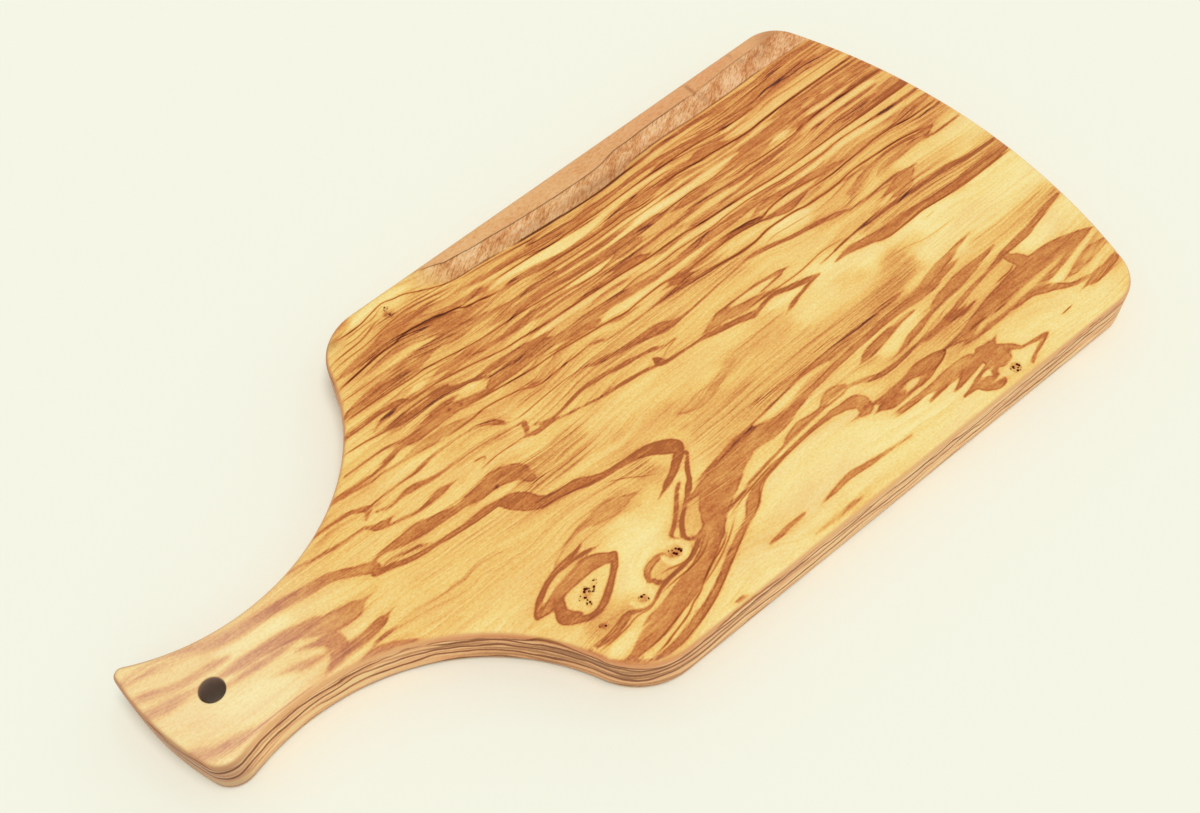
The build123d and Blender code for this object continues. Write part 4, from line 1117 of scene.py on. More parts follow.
class BoardSkin:
    """Corners of the board's skin in millimetres, its faces, and which corners each part has."""

    def __init__(self, sizes, length, thickness):
        rim = board_outline(sizes, length, sizes.outline_step / MM)
        hole_middle = (sizes.hole_station / MM - length / 2, sizes.hole_offset / MM)
        hole = hole_outline(sizes.hole_diameter / 2 / MM, hole_middle)
        hole_edge = sizes.hole_edge_radius / MM
        edge = edge_profile(thickness, sizes.face_edge_radius / MM, sizes.underside_edge_radius / MM,
                            rounds=5, rows=6)
        bore = edge_profile(thickness, hole_edge, hole_edge, rounds=3, rows=5)
        self.corners, self.faces, self.parts = [], [], {}
        walls = [self.add_wall("edge", *rim, edge), self.add_wall("bore", *hole, bore)]
        self.add_flat("face", [wall[0] for wall in walls], thickness,
                      (sizes.face_step_along / MM, sizes.face_step_across / MM))
        self.add_flat("underside", [wall[-1] for wall in walls], 0.0,
                      (sizes.underside_step_along / MM, sizes.underside_step_across / MM))

    def add_corners(self, part, points, height):
        """Adds corners at one height to a part, and returns their numbers."""
        start = sum(map(len, self.corners))
        self.corners.append(np.column_stack([points, np.full(len(points), height)]))
        numbers = range(start, start + len(points))
        self.parts.setdefault(part, []).extend(numbers)
        return numbers

    def add_wall(self, part, loop, out, profile):
        """Adds a wall round a loop, and returns its rings: each ring's points and corner numbers."""
        rings = []
        for inset, height in profile:
            points = loop - inset * out
            rings.append((points, self.add_corners(part, points, height)))
        for (_, upper), (_, lower) in zip(rings, rings[1:]):
            for n in range(len(loop)):
                after = (n + 1) % len(loop)
                self.faces.append([upper[n], lower[n], lower[after], upper[after]])
        return rings

    def add_flat(self, part, rings, height, spacing):
        """Fills the face or the underside between the walls' rings. At height 0 it looks down."""
        grid, filling = fill_face(*(points for points, _ in rings), np.array(spacing))
        numbers = [n for _, ring in rings for n in ring] + list(self.add_corners(part, grid, height))
        for face in filling:
            named = [numbers[k] for k in face]
            self.faces.append(named if height else named[::-1])


# How the underside's figure differs from the face's: it sways along and across by so many mm, in
# waves so many mm long for each radian, and lies a little wider and further left
UNDERSIDE_ALONG, UNDERSIDE_ACROSS = (9, 35), (3, 47)
UNDERSIDE_WIDER, UNDERSIDE_LEFT = 1.03, 2


def underside_spots(spots):
    """Where the underside's figure is read: the same growth layers, one board's thickness deeper."""
    x, y = spots.T
    (along, long_wave), (across, cross_wave) = UNDERSIDE_ALONG, UNDERSIDE_ACROSS
    return np.stack([x + along * np.sin(y / long_wave + 1),
                     UNDERSIDE_WIDER * y + across * np.sin(x / cross_wave) + UNDERSIDE_LEFT], 1)


def make_board_mesh(name, sizes, length, thickness):
    """The board's mesh, with its wood figure stored on it."""
    skin = BoardSkin(sizes, length, thickness)
    corners = np.vstack(skin.corners)
    mesh = bpy.data.meshes.new(name)
    mesh.from_pydata(corners * MM, [], skin.faces)
    if mesh.validate():
        raise RuntimeError("The board's mesh has faulty faces")
    mesh.polygons.foreach_set("use_smooth", [True] * len(mesh.polygons))
    spots = corners[:, :2].copy()
    low = corners[:, 2] < thickness / 2
    spots[low] = underside_spots(spots[low])
    columns = figure_at(spots)
    columns["bore"] = np.zeros(len(corners))
    columns["bore"][skin.parts["bore"]] = 1
    for column, values in columns.items():
        flat = values.ndim == 1
        attribute = mesh.attributes.new(column, "FLOAT" if flat else "FLOAT_VECTOR", "POINT")
        attribute.data.foreach_set("value" if flat else "vector", values.astype(np.float32).ravel())
    return mesh


# ---------------------------------------------------------------------------------------------
# Materials

# Marks of the wood, in mm: how long they are along the grain, how wide across it, and how deep
SLOW_WANDER = (24, 9, 9)
QUICK_WANDER = (8, 3, 3)
FIBRES = (9, 0.45, 1)  # real fibres are about 0.2 mm across; drawn wider so that they show
STREAKS = (26, 0.85, 2)
GROWTH = (80, 2.2, 4)
CLOUDS = (34, 8, 14)
MOTTLE = (1.2, 0.7, 0.7)
THREADS = (42, 1, 2)
PALE_THREADS = (55, 0.9, 2.5)
LAYER_DRIFT = (110, 11, 11)
LAYER_PATCHES = (50, 5, 5)
BAND_FRAY = (6, 3, 3)
BAND_SHADES = (7, 2.2, 2.2)
LINE_GAPS = (14, 2, 2)
FINE_RINGS = (90, 2.4, 4)
SPECKLE = (1.5, 1.5, 1.5)
CROSS_MARKS = (2.8, 0.7, 3)
CROSS_DASHES = (2.2, 0.6, 3)
CROSS_PATCHES = (14, 5, 6)
WEAVE = (1.9, 0.8, 0.8)
BLUSH = (34, 9, 9)
PORES = (3.2, 0.35, 0.35)  # open pores are about 0.1 mm wide; drawn wider so that they show
EDGE_WAVE = (42, 42, 42)
EDGE_LAYERS = (80, 80, 2.4)
EDGE_FIBRES = (30, 30, 0.6)
EDGE_LINE_WAVE = (22, 22, 22)
EDGE_LINE_RIPPLE = (6, 6, 6)
EDGE_LINE_GAPS = (45, 45, 45)

# Other sizes of the wood's pattern, in mm, and the slant of the cross marks
LAYER_SPACING = 3.3
BARK_DOTS = 1.3
SLANT = math.radians(-32)
SLOW_WANDER_SIZE = 0.9
QUICK_WANDER_SIZE = 0.25
EDGE_WAVE_HEIGHT = 3.4
EDGE_LINE_WAVE_HEIGHT = 3.6
EDGE_LINE_RIPPLE_HEIGHT = 0.6
EDGE_LINE_SHIFT = 20  # how far the waves of two edge lines a millimetre apart are shifted

# Where the wood changes, and where painted shade lies, in mm: each pair runs from no change to the full one
HANDLE_PALES = (-115, -170)  # X
# Painted shade: the end wall at the handle's tip is darkened between these X
TIP_DARKENS = (-176, -190)  # X
RUDDY_ALONG = (-20, 160)  # X
RUDDY_ACROSS = (-30, 60)  # Y
NECK_MIDDLE = -80  # X of the neck, where the board's edge is browner
NECK_REACH = (62, 12)  # from the neck's middle
EDGE_STARTS = (0.05, 1.3)  # down from the face or up from the underside, as are the next two
# The rounded rims between these depths are darkened: partly oil in their end grain, partly painted shade
# where the rounding turns from the light
RIM_STARTS = (0.1, 0.9)
RIM_ENDS = (3, 1.6)

# Dark growth lines on the board's edge: height above the underside, half width, strength; in mm
EDGE_LINES = [(1.2, 0.9, 0.7), (3.0, 1.8, 0.3), (6.6, 1.1, 0.9), (8.4, 1.8, 0.35), (11.0, 1.1, 0.9),
              (12.8, 1.6, 0.4), (14.8, 1.1, 1.0), (16.4, 0.8, 0.6)]


def add_node(tree, kind, inputs=None, **settings):
    """Adds a node, sets its settings, and fills its inputs with values or links."""
    node = tree.nodes.new(kind)
    for name, value in settings.items():
        setattr(node, name, value)
    for name, value in (inputs or {}).items():
        socket = node.inputs[name]
        if isinstance(value, bpy.types.NodeSocket):
            tree.links.new(value, socket)
        else:
            socket.default_value = value
    return node


def new_material(name):
    """A material with an empty node tree."""
    material = bpy.data.materials.new(name)
    material.use_nodes = True
    material.node_tree.nodes.clear()
    return material


class Graph:
    """Short words for the sums that a wood pattern is made of."""

    def __init__(self, tree, colours):
        self.tree = tree
        self.colours = colours

    def stored(self, name):
        return add_node(self.tree, "ShaderNodeAttribute", attribute_name=name).outputs["Fac"]

    def stored_three(self, name):
        node = add_node(self.tree, "ShaderNodeAttribute", attribute_name=name)
        return self.split(node.outputs["Vector"])

    def split(self, vector):
        return tuple(add_node(self.tree, "ShaderNodeSeparateXYZ", {0: vector}).outputs)

    def join(self, x, y, z):
        return add_node(self.tree, "ShaderNodeCombineXYZ", {0: x, 1: y, 2: z}).outputs[0]

    def math(self, operation, *values):
        inputs = dict(enumerate(values))
        return add_node(self.tree, "ShaderNodeMath", inputs, operation=operation).outputs[0]

    def times(self, first, *others):
        for value in others:
            first = self.math("MULTIPLY", first, value)
        return first

    def add(self, base, *shares):
        """The base with other values added, each given with the share of it that is added."""
        for value, share in shares:
            base = self.math("MULTIPLY_ADD", value, share, base)
        return base

    def rest(self, share):
        """What a share leaves of 1."""
        return self.add(1.0, (share, -1.0))

    def darken(self, density, target, share):
        """Brings a density nearer to its target by a share, where the target is darker."""
        extra = self.math("MAXIMUM", self.math("SUBTRACT", target, density), 0.0)
        return self.add(density, (extra, share))

    def ease(self, value, low, high, out_low=0.0, out_high=1.0):
        inputs = {"Value": value, "From Min": low, "From Max": high, "To Min": out_low, "To Max": out_high}
        return add_node(self.tree, "ShaderNodeMapRange", inputs, interpolation_type="SMOOTHSTEP").outputs[0]

    def ease_mm(self, metres, low, high):
        return self.ease(metres, low * MM, high * MM)

    def grain(self, place, marks, detail=2.0, rough=0.5, distort=0.0):
        """Noise whose marks are so many millimetres long, wide and deep, from -1 to 1."""
        scale = tuple(1 / (size * MM) for size in marks)
        at = add_node(self.tree, "ShaderNodeVectorMath", {0: place, 1: scale}, operation="MULTIPLY")
        noise = add_node(self.tree, "ShaderNodeTexNoise", {
            "Vector": at.outputs[0], "Scale": 1.0, "Detail": detail, "Roughness": rough,
            "Distortion": distort})
        return self.add(-1.0, (noise.outputs[0], 2.0))

    def ramp(self, value, stops):
        """Turns a value into colours. The stops are positions with the names of their colours."""
        node = add_node(self.tree, "ShaderNodeValToRGB", {"Fac": value})
        elements = node.color_ramp.elements
        while len(elements) < len(stops):
            elements.new(0.5)
        for element, (position, name) in zip(elements, stops.items()):
            element.position = position
            element.color = (*self.colours[name], 1)
        return node.outputs[0]

    def lay_over(self, base, share, shade, blend="MIX"):
        """Lays a share of a named colour or of another pattern over a base."""
        shade = (*self.colours[shade], 1) if isinstance(shade, str) else shade
        inputs = {0: share, 6: base, 7: shade}
        return add_node(self.tree, "ShaderNodeMix", inputs, data_type="RGBA", blend_type=blend).outputs[2]


class OliveWood(Graph):
    """The olive wood's pattern, step by step. The steps share the noises and the drawn strokes.

    The face is worked out as a density of colour, from 0 (cream) to 1 (ink)."""

    def __init__(self, tree, colours):
        super().__init__(tree, colours)
        self.place = add_node(tree, "ShaderNodeTexCoord").outputs["Object"]
        self.x, self.y, self.z = self.split(self.place)
        self.lens, self.lens_tone, self.stain = self.stored_three("lens")
        self.knot_ring, self.bark_pocket, self.calm = self.stored_three("knots")
        self.follow_grain()
        self.draw_noises()
        self.find_regions()

    def follow_grain(self):
        """Bends space the way that the grain wanders round the drawn strokes."""
        wander = self.add(self.times(self.stored("lean"), MM),
                          (self.grain(self.place, SLOW_WANDER), SLOW_WANDER_SIZE * MM),
                          (self.grain(self.place, QUICK_WANDER, detail=1), QUICK_WANDER_SIZE * MM))
        self.y_in_grain = self.add(self.y, (wander, -1.0))
        self.wood = self.join(self.x, self.y_in_grain, self.z)

    def draw_noises(self):
        """The streaks, threads and clouds of the face. Where the wood is calm, most of them fade."""
        self.lively = self.add(1.0, (self.calm, -0.78))
        self.fibres = self.times(self.grain(self.wood, FIBRES), self.lively)
        self.streaks = self.times(self.grain(self.wood, STREAKS, detail=3, rough=0.6), self.lively)
        self.growth = self.times(self.grain(self.wood, GROWTH, detail=3, rough=0.6), self.lively)
        threads = self.ease(self.grain(self.wood, THREADS, detail=3, rough=0.6), 0.14, 0.38)
        self.threads = self.times(threads, self.lively)
        pale_threads = self.grain(self.wood, PALE_THREADS, detail=2, rough=0.55)
        self.pale_threads = self.ease(pale_threads, -0.2, -0.45)
        self.clouds = self.grain(self.wood, CLOUDS, detail=3)
        self.mottle = self.grain(self.place, MOTTLE, detail=2, rough=0.7)
        self.speckle = self.grain(self.place, SPECKLE)
        self.frayed = self.add(self.streaks, (self.fibres, 0.3))

    def find_regions(self):
        """The bleached handle, the ruddy far left quarter and the pale lenses."""
        self.pallor = self.ease_mm(self.x, *HANDLE_PALES)
        self.ruddy = self.times(self.ease_mm(self.x, *RUDDY_ALONG), self.ease_mm(self.y, *RUDDY_ACROSS))
        lens = self.add(self.lens, (self.growth, 0.75), (self.frayed, 0.5))
        self.in_lens = self.ease(lens, -0.8, 0.7)

    def ground(self):
        """Density of the ground, with its clouds, growth layers, streaks and threads."""
        lens_tone = self.add(0.12, (self.lens_tone, 0.8), (self.ruddy, 0.08))
        tone = self.stored("tone")
        to_lens = self.add(lens_tone, (tone, -1.0))
        self.tone = self.add(tone, (to_lens, self.in_lens), (self.clouds, 0.2))
        layers = self.times(self.growth_layers(), 1.5)
        variation = self.add(layers, (self.growth, 1.0), (self.streaks, 0.9))
        contrast = self.ease(self.tone, 0.3, 0.8, 0.075, 0.24)
        threads_here = self.ease(self.tone, 0.25, 0.7, 0.03, 0.27)
        return self.add(self.ease(self.tone, -0.1, 1.1, -0.01, 0.5), (variation, contrast),
                        (self.fibres, 0.08), (self.mottle, 0.24), (self.threads, threads_here))

    def growth_layers(self):
        """Faint growth layers, each darkening slowly and ending sharply, in patches."""
        drift = self.times(self.grain(self.wood, LAYER_DRIFT), 2.2)
        layer = self.math("FRACT", self.add(drift, (self.y_in_grain, 1 / (LAYER_SPACING * MM))))
        patches = self.ease(self.grain(self.wood, LAYER_PATCHES), -0.5, 0.5)
        return self.times(self.ease(layer, 0.05, 0.93), self.ease(layer, 1.0, 0.93), patches, self.lively)

    def add_bands(self, density):
        """Brown bands: frayed along the fibres, darkest just inside their edge, with a soft halo."""
        band = self.add(self.stored("band"), (self.frayed, 0.62), (self.growth, 0.42),
                        (self.grain(self.place, BAND_FRAY), 0.3))
        soft_low, soft_high = self.add(-0.65, (self.pallor, -1.2)), self.add(0.45, (self.pallor, 0.9))
        self.in_band = self.times(self.ease(band, soft_low, soft_high), self.rest(self.in_lens))
        rim = self.times(self.ease(band, -0.35, 0.15), self.ease(band, 0.95, 0.25),
                         self.ease(self.growth, -0.35, 0.45), self.rest(self.pallor))
        rim_strength = self.add(0.19, (self.calm, 0.16))
        shades = self.grain(self.place, BAND_SHADES, detail=3)
        depth = self.add(0.36, (self.stored("depth"), 0.5), (self.pallor, 0.02), (self.growth, 0.11),
                         (self.streaks, 0.19), (self.fibres, 0.09), (self.mottle, 0.2), (shades, 0.2),
                         (rim, rim_strength), (self.threads, 0.14), (self.pale_threads, -0.16))
        halo = self.ease(band, -3.5, 0.0)
        density = self.darken(self.add(density, (halo, 0.05)), depth, self.in_band)
        return self.math("MINIMUM", density, 0.8)

    def add_growth_lines(self, density):
        """The drawn growth lines, each with a soft brown edge."""
        lines = 0.0
        for offset, strength in zip(self.stored_three("line_offsets"), self.stored_three("line_strengths")):
            off = self.math("ABSOLUTE", self.add(offset, (self.frayed, 0.55)))
            core = self.times(self.ease(off, 1.5, 0.35), 0.95)
            line = self.times(self.add(core, (self.ease(off, 3.8, 0.8), 0.15)), strength)
            lines = self.math("MAXIMUM", line, lines)
        self.lines = self.times(lines, self.ease(self.grain(self.wood, LINE_GAPS), -0.9, 0.3, 0.6, 1.0))
        return self.darken(density, 0.88, self.lines)

    def add_fine_rings(self, density):
        """Fine growth lines between the drawn ones, as level lines of a long noise."""
        rings = self.math("ABSOLUTE", self.grain(self.wood, FINE_RINGS, detail=1, distort=0.1))
        strength = self.ease(self.tone, 0.3, 0.75, 0.02, 0.34)
        return self.add(density, (self.times(self.ease(rings, 0.06, 0.0), strength, self.lively), 1.0))

    def add_pin_knots(self, density):
        """Pin knots: brown wood with small round pockets of bark, each under a millimetre across."""
        ring = self.times(self.knot_ring, self.ease(self.speckle, -0.8, 0.4, 0.2, 1.0))
        pocket = self.add(self.bark_pocket, (self.speckle, 0.3))
        dots = add_node(self.tree, "ShaderNodeTexVoronoi", {
            "Vector": self.place, "Scale": 1 / (BARK_DOTS * MM)})
        bark = self.ease(dots.outputs["Distance"], 0.52, 0.36)
        self.bark = self.times(bark, self.ease(pocket, -0.75, -0.25))
        return self.add(density, (ring, 0.26), (self.ease(pocket, -1.3, 0.2), 0.16))

    def face(self):
        """Colours of the face."""
        density = self.ground()
        for step in (self.add_bands, self.add_growth_lines, self.add_fine_rings, self.add_pin_knots):
            density = step(density)
        face = self.ramp(density, {
            0.0: "cream", 0.14: "straw", 0.29: "gold", 0.43: "amber", 0.56: "tan", 0.68: "brown",
            0.8: "dark_brown", 0.9: "umber", 1.0: "ink"})
        face = self.lay_over(self.add_strips(face), self.bark, "bark")
        blush = self.grain(self.wood, BLUSH, detail=3, rough=0.6)
        for share, veil, blend in ((self.pallor, "handle_veil", "SCREEN"),
                                   (self.times(self.ruddy, 0.8), "ruddy_veil", "MULTIPLY"),
                                   (self.ease(blush, -0.2, 0.5, 0.0, 0.8), "blush", "MULTIPLY")):
            face = self.lay_over(face, share, veil, blend)
        return face

    def add_strips(self, face):
        """Sapwood strips along the left side: a plain one, and one with slanting cross marks."""
        above_plain, above_speckled, starts = self.stored_three("strips")
        slanted = add_node(self.tree, "ShaderNodeMapping", {
            "Vector": self.place, "Rotation": (0, 0, SLANT)}).outputs[0]
        marks = self.grain(slanted, CROSS_MARKS, detail=3, rough=0.7)
        patches = self.grain(slanted, CROSS_PATCHES, distort=0.5)
        dashes = self.ease(self.grain(slanted, CROSS_DASHES, detail=1), 0.22, 0.45)
        speckled = self.ramp(self.add(0.62, (marks, 0.8), (patches, 0.55)), {
            0.1: "strip_brown", 0.4: "strip_rust", 0.6: "strip_tan", 0.95: "strip_pale"})
        speckled = self.lay_over(speckled, self.times(dashes, 0.62), "strip_brown")
        weave = self.grain(self.place, WEAVE, detail=3, rough=0.75)
        plain = self.ramp(self.add(0.5, (self.clouds, 0.35), (weave, 0.95)), {
            0.0: "strip_rust", 0.4: "strip_tan", 1.0: "strip_light"})
        in_speckled = self.times(self.ease(above_speckled, -0.25, 0.35), starts)
        in_plain = self.times(self.ease(above_plain, -0.25, 0.35), starts)
        stained = self.times(self.add(1.0, (weave, 0.5)), self.stain, 0.75)
        lines_here = self.times(self.math("MAXIMUM", in_speckled, in_plain), self.lines)
        for share, shade in ((in_speckled, speckled), (in_plain, plain), (stained, "strip_brown"),
                             (lines_here, "line")):
            face = self.lay_over(face, share, shade)
        return face

    def edge(self):
        """Colours of the edge. Its growth layers run level round the board, with a slow wave. The end wall at
        the handle's tip is darkened with painted shade.
        """
        wave = self.grain(self.place, EDGE_WAVE)
        height = self.add(self.z, (wave, EDGE_WAVE_HEIGHT * MM))
        level = self.join(self.x, self.y, height)
        from_neck = self.math("ABSOLUTE", self.add(self.x, (1.0, -NECK_MIDDLE * MM)))
        tone = self.add(0.74, (self.ease_mm(from_neck, *NECK_REACH), -0.22),
                        (self.grain(level, EDGE_LAYERS, rough=0.6), 0.36),
                        (self.grain(level, EDGE_FIBRES), 0.08), (self.mottle, 0.12),
                        (self.edge_lines(height), -0.76))
        edge = self.ramp(tone, {0.05: "edge_line", 0.28: "edge_brown", 0.5: "edge_tan",
                                0.72: "edge_light", 1.0: "edge_pale"})
        # Painted shade laid over the end wall at the handle's tip
        return self.lay_over(edge, self.ease_mm(self.x, *TIP_DARKENS), "tip_painted_shade", "MULTIPLY")

    def edge_lines(self, height):
        """Dark growth lines on the edge. Each has a wave of its own and breaks off in places."""
        ripple = self.grain(self.place, EDGE_LINE_RIPPLE)
        lines = 0.0
        for line_height, width, strength in EDGE_LINES:
            shift = (line_height * MM * EDGE_LINE_SHIFT, 0.0, 0.0)
            moved = add_node(self.tree, "ShaderNodeVectorMath", {0: self.place, 1: shift}, operation="ADD")
            wave, gaps = (self.grain(moved.outputs[0], marks) for marks in (EDGE_LINE_WAVE, EDGE_LINE_GAPS))
            own_wave = self.add(-line_height * MM, (wave, EDGE_LINE_WAVE_HEIGHT * MM),
                                (ripple, EDGE_LINE_RIPPLE_HEIGHT * MM))
            off = self.math("ABSOLUTE", self.add(height, (own_wave, 1.0)))
            line = self.times(self.ease_mm(off, width, 0.25 * width), strength,
                              self.ease(gaps, -0.4, 0.2, 0.25, 1.0))
            lines = self.math("MAXIMUM", line, lines)
        return lines

    def whole(self, thickness):
        """Colours of the whole board: the face, the edge, the rims between them, and the bore. The rims are
        darkened partly for oil in their end grain and partly with painted shade; the bore's colour is partly
        painted shade.
        """
        half = thickness / 2
        from_middle = self.math("ABSOLUTE", self.add(self.z, (1.0, -half * MM)))

        def by_depth(stations):
            return self.ease_mm(from_middle, *(half - station for station in stations))

        on_edge = by_depth(EDGE_STARTS)
        on_rim = self.times(by_depth(RIM_STARTS), by_depth(RIM_ENDS), 0.5)
        whole = self.lay_over(self.face(), on_edge, self.edge())
        # Partly real, partly painted shade: the rounded rims are darkened
        whole = self.lay_over(whole, on_rim, "rim_oil_and_painted_shade", "MULTIPLY")
        # Partly real, partly painted shade: the wall of the hanging hole is drawn greyed and darker
        return self.lay_over(whole, self.times(self.stored("bore"), on_edge), "bore")


def olive_wood(colours, thickness):
    """Olive wood, planed, sanded and oiled.

    Golden sapwood with brown heartwood bands that have ragged, dark-lined edges. Oil deepens the
    browns and leaves a soft satin sheen; the open grain shows as fine short flecks. Bark and cracks
    stay matt and lie a little lower."""
    material = new_material("olive_wood_sanded_and_oiled")
    wood = OliveWood(material.node_tree, colours)
    whole = wood.whole(thickness)
    pores = wood.ease(wood.grain(wood.wood, PORES, detail=1), 0.52, 0.8)
    whole = wood.lay_over(whole, wood.times(pores, 0.22), "brown")
    roughness = wood.add(0.5, (wood.fibres, 0.05), (wood.in_band, -0.05))
    matt = wood.math("MAXIMUM", wood.bark, wood.times(wood.lines, 0.8))
    relief = wood.add(wood.times(wood.fibres, 0.35), (pores, -0.6), (wood.bark, -1.0), (wood.lines, -0.35))
    bump = add_node(wood.tree, "ShaderNodeBump", {"Height": relief, "Strength": 0.35, "Distance": 0.1 * MM})
    shader = add_node(wood.tree, "ShaderNodeBsdfPrincipled", {
        "Base Color": whole, "Roughness": roughness, "Normal": bump.outputs[0], "IOR": 1.45,
        "Specular IOR Level": wood.add(0.3, (matt, -0.27))})
    add_node(wood.tree, "ShaderNodeOutputMaterial", {"Surface": shader.outputs[0]})
    return material


def backdrop_paper(tint):
    """Seamless studio paper: matt, and pale enough to show only a soft shadow."""
    material = new_material("studio_paper_matt")
    shader = add_node(material.node_tree, "ShaderNodeBsdfPrincipled", {
        "Base Color": (*tint, 1), "Roughness": 1.0, "Specular IOR Level": 0.0})
    add_node(material.node_tree, "ShaderNodeOutputMaterial", {"Surface": shader.outputs[0]})
    return material


# ---------------------------------------------------------------------------------------------
# Settings, operators and panel

def size(label, text, millimetres):
    """A length that the user can change, kept in metres."""
    return bpy.props.FloatProperty(name=label, description=text, default=millimetres * MM, min=0.0,
                                   unit="LENGTH", precision=5)


def tint(label, text, hex_text):
    """A colour that the user can change, kept linear."""
    return bpy.props.FloatVectorProperty(name=label, description=text, default=colour(hex_text), size=3,
                                         min=0.0, max=1.0, subtype="COLOR")


def angle(label, text, degrees):
    """An angle that the user can change, kept in radians."""
    return bpy.props.FloatProperty(name=label, description=text, default=math.radians(degrees),
                                   subtype="ANGLE")


def strength(label, text, value):
    """A strength that the user can change."""
    return bpy.props.FloatProperty(name=label, description=text, default=value, min=0.0)


class BoardSizes(bpy.types.PropertyGroup):
    """Sizes of the sawn outline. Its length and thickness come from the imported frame."""

    shoulder_station: size("Shoulder station", "From the handle's tip to the start of the sides", 140)
    left_shoulder_half_width: size("Left shoulder", "Half width at the left shoulder", 94.5)
    right_shoulder_half_width: size("Right shoulder", "Half width at the right shoulder", 92)
    left_far_half_width: size("Left far half width", "Half width at the far left corner", 100.3)
    right_far_half_width: size("Right far half width", "Half width at the far right corner", 100.4)
    far_crown_height: size("Far crown", "How far the far end bows out", 20.5)
    left_far_corner_radius: size("Left far corner", "Radius of the far left corner", 17)
    right_far_corner_radius: size("Right far corner", "Radius of the far right corner", 19)
    left_shoulder_radius: size("Left shoulder radius", "Radius of the left shoulder", 23.5)
    right_shoulder_radius: size("Right shoulder radius", "Radius of the right shoulder", 27)
    left_waist_station: size("Left waist station", "From the tip to the narrowest place, left", 44.5)
    right_waist_station: size("Right waist station", "From the tip to the narrowest place, right", 40)
    left_waist_half_width: size("Left waist", "Half width at the narrowest place, left", 18)
    right_waist_half_width: size("Right waist", "Half width at the narrowest place, right", 21)
    left_sweep_radius: size("Left sweep", "Radius from handle to shoulder, left", 82)
    right_sweep_radius: size("Right sweep", "Radius from handle to shoulder, right", 89)
    tip_radius: size("Tip radius", "Radius of the handle's tip", 109)
    tip_crown_offset: size("Tip crown offset", "How far left the tip's crown lies", 18)
    left_tip_corner_radius: size("Left tip corner", "Radius of the tip's left corner", 3)
    right_tip_corner_radius: size("Right tip corner", "Radius of the tip's right corner", 9)
    hole_diameter: size("Hole diameter", "Diameter of the hanging hole", 9)
    hole_station: size("Hole station", "From the tip to the middle of the hole", 22)
    hole_offset: size("Hole offset", "How far left the hole lies", 1)
    hole_edge_radius: size("Hole edge", "Rounding of the hole's rims", 0.6)
    face_edge_radius: size("Face edge", "Rounding of the face's rim", 2.5)
    underside_edge_radius: size("Underside edge", "Rounding of the underside's rim", 2)
    outline_step: size("Outline step", "Spacing of the mesh round the outline", 1.6)
    face_step_along: size("Face step along", "Spacing of the face's mesh along the grain", 1.6)
    face_step_across: size("Face step across", "Spacing of the face's mesh across the grain", 0.62)
    underside_step_along: size("Underside step along", "Spacing of the underside's mesh along the grain", 3.6)
    underside_step_across: size("Underside step across", "Spacing of the underside's mesh across", 1.3)


class WoodColours(bpy.types.PropertyGroup):
    """Colours of the olive wood."""

    cream: tint("Cream", "Palest sapwood", "#F8E7A2")
    straw: tint("Straw", "Pale ground", "#F4D988")
    gold: tint("Gold", "Ground of the face", "#EFC46C")
    amber: tint("Amber", "Warm ground", "#E4AC5C")
    tan: tint("Tan", "Soft bands", "#D5924A")
    brown: tint("Brown", "Bands of heartwood", "#C47638")
    dark_brown: tint("Dark brown", "Dark bands", "#A85C26")
    umber: tint("Umber", "The darkest bands", "#803E18")
    ink: tint("Ink", "Growth lines", "#52220C")
    line: tint("Line in the strips", "Growth lines in the strips along the left side", "#5A2410")
    bark: tint("Bark pocket", "Bark in the pin knots", "#480C04")
    strip_tan: tint("Strip", "Plain strip along the left side", "#E1AD71")
    strip_light: tint("Strip, light", "Light fibres of the plain strip", "#EDC08C")
    strip_rust: tint("Strip, rust", "Ruddy places of the strips", "#CE8E54")
    strip_brown: tint("Strip marks", "Cross marks of the speckled strip", "#A0602C")
    strip_pale: tint("Strip, pale", "Pale places of the speckled strip", "#F3D19F")
    handle_veil: tint("Handle veil", "Bleached look of the handle, laid over its wood", "#66686A")
    ruddy_veil: tint("Ruddy veil", "Reddening of the far left quarter, laid over its wood", "#FBEFEF")
    blush: tint("Blush", "Uneven rosy patches, laid over the wood", "#FAECEA")
    # Partly real, partly painted shade: the rounded rims take more oil in their end grain, and are also
    # darkened where they turn away from the light
    rim_oil_and_painted_shade: tint("Rim veil", "Darkening where the rounded rim drinks more oil", "#D0A184")
    edge_pale: tint("Edge, pale", "Palest layers on the board's edge", "#FFE39A")
    edge_light: tint("Edge, light", "Light layers on the board's edge", "#FFD59A")
    edge_tan: tint("Edge", "Layers on the board's edge", "#F3B47C")
    edge_brown: tint("Edge, brown", "Brown layers on the board's edge", "#BA8250")
    edge_line: tint("Edge line", "Dark lines on the board's edge", "#94582E")
    # Painted shade: multiplies the end wall at the handle's tip darker, as where it turns away from the light
    tip_painted_shade: tint("Tip veil", "End grain of the handle's tip drinks more oil, laid over its edge", "#D4CCD4")
    # Partly real, partly painted shade: a greyed, darker brown for the drill-burnt wall of the hanging hole
    # and the shade deep inside it
    bore: tint("Bore", "Wall of the hanging hole", "#A68C7A")


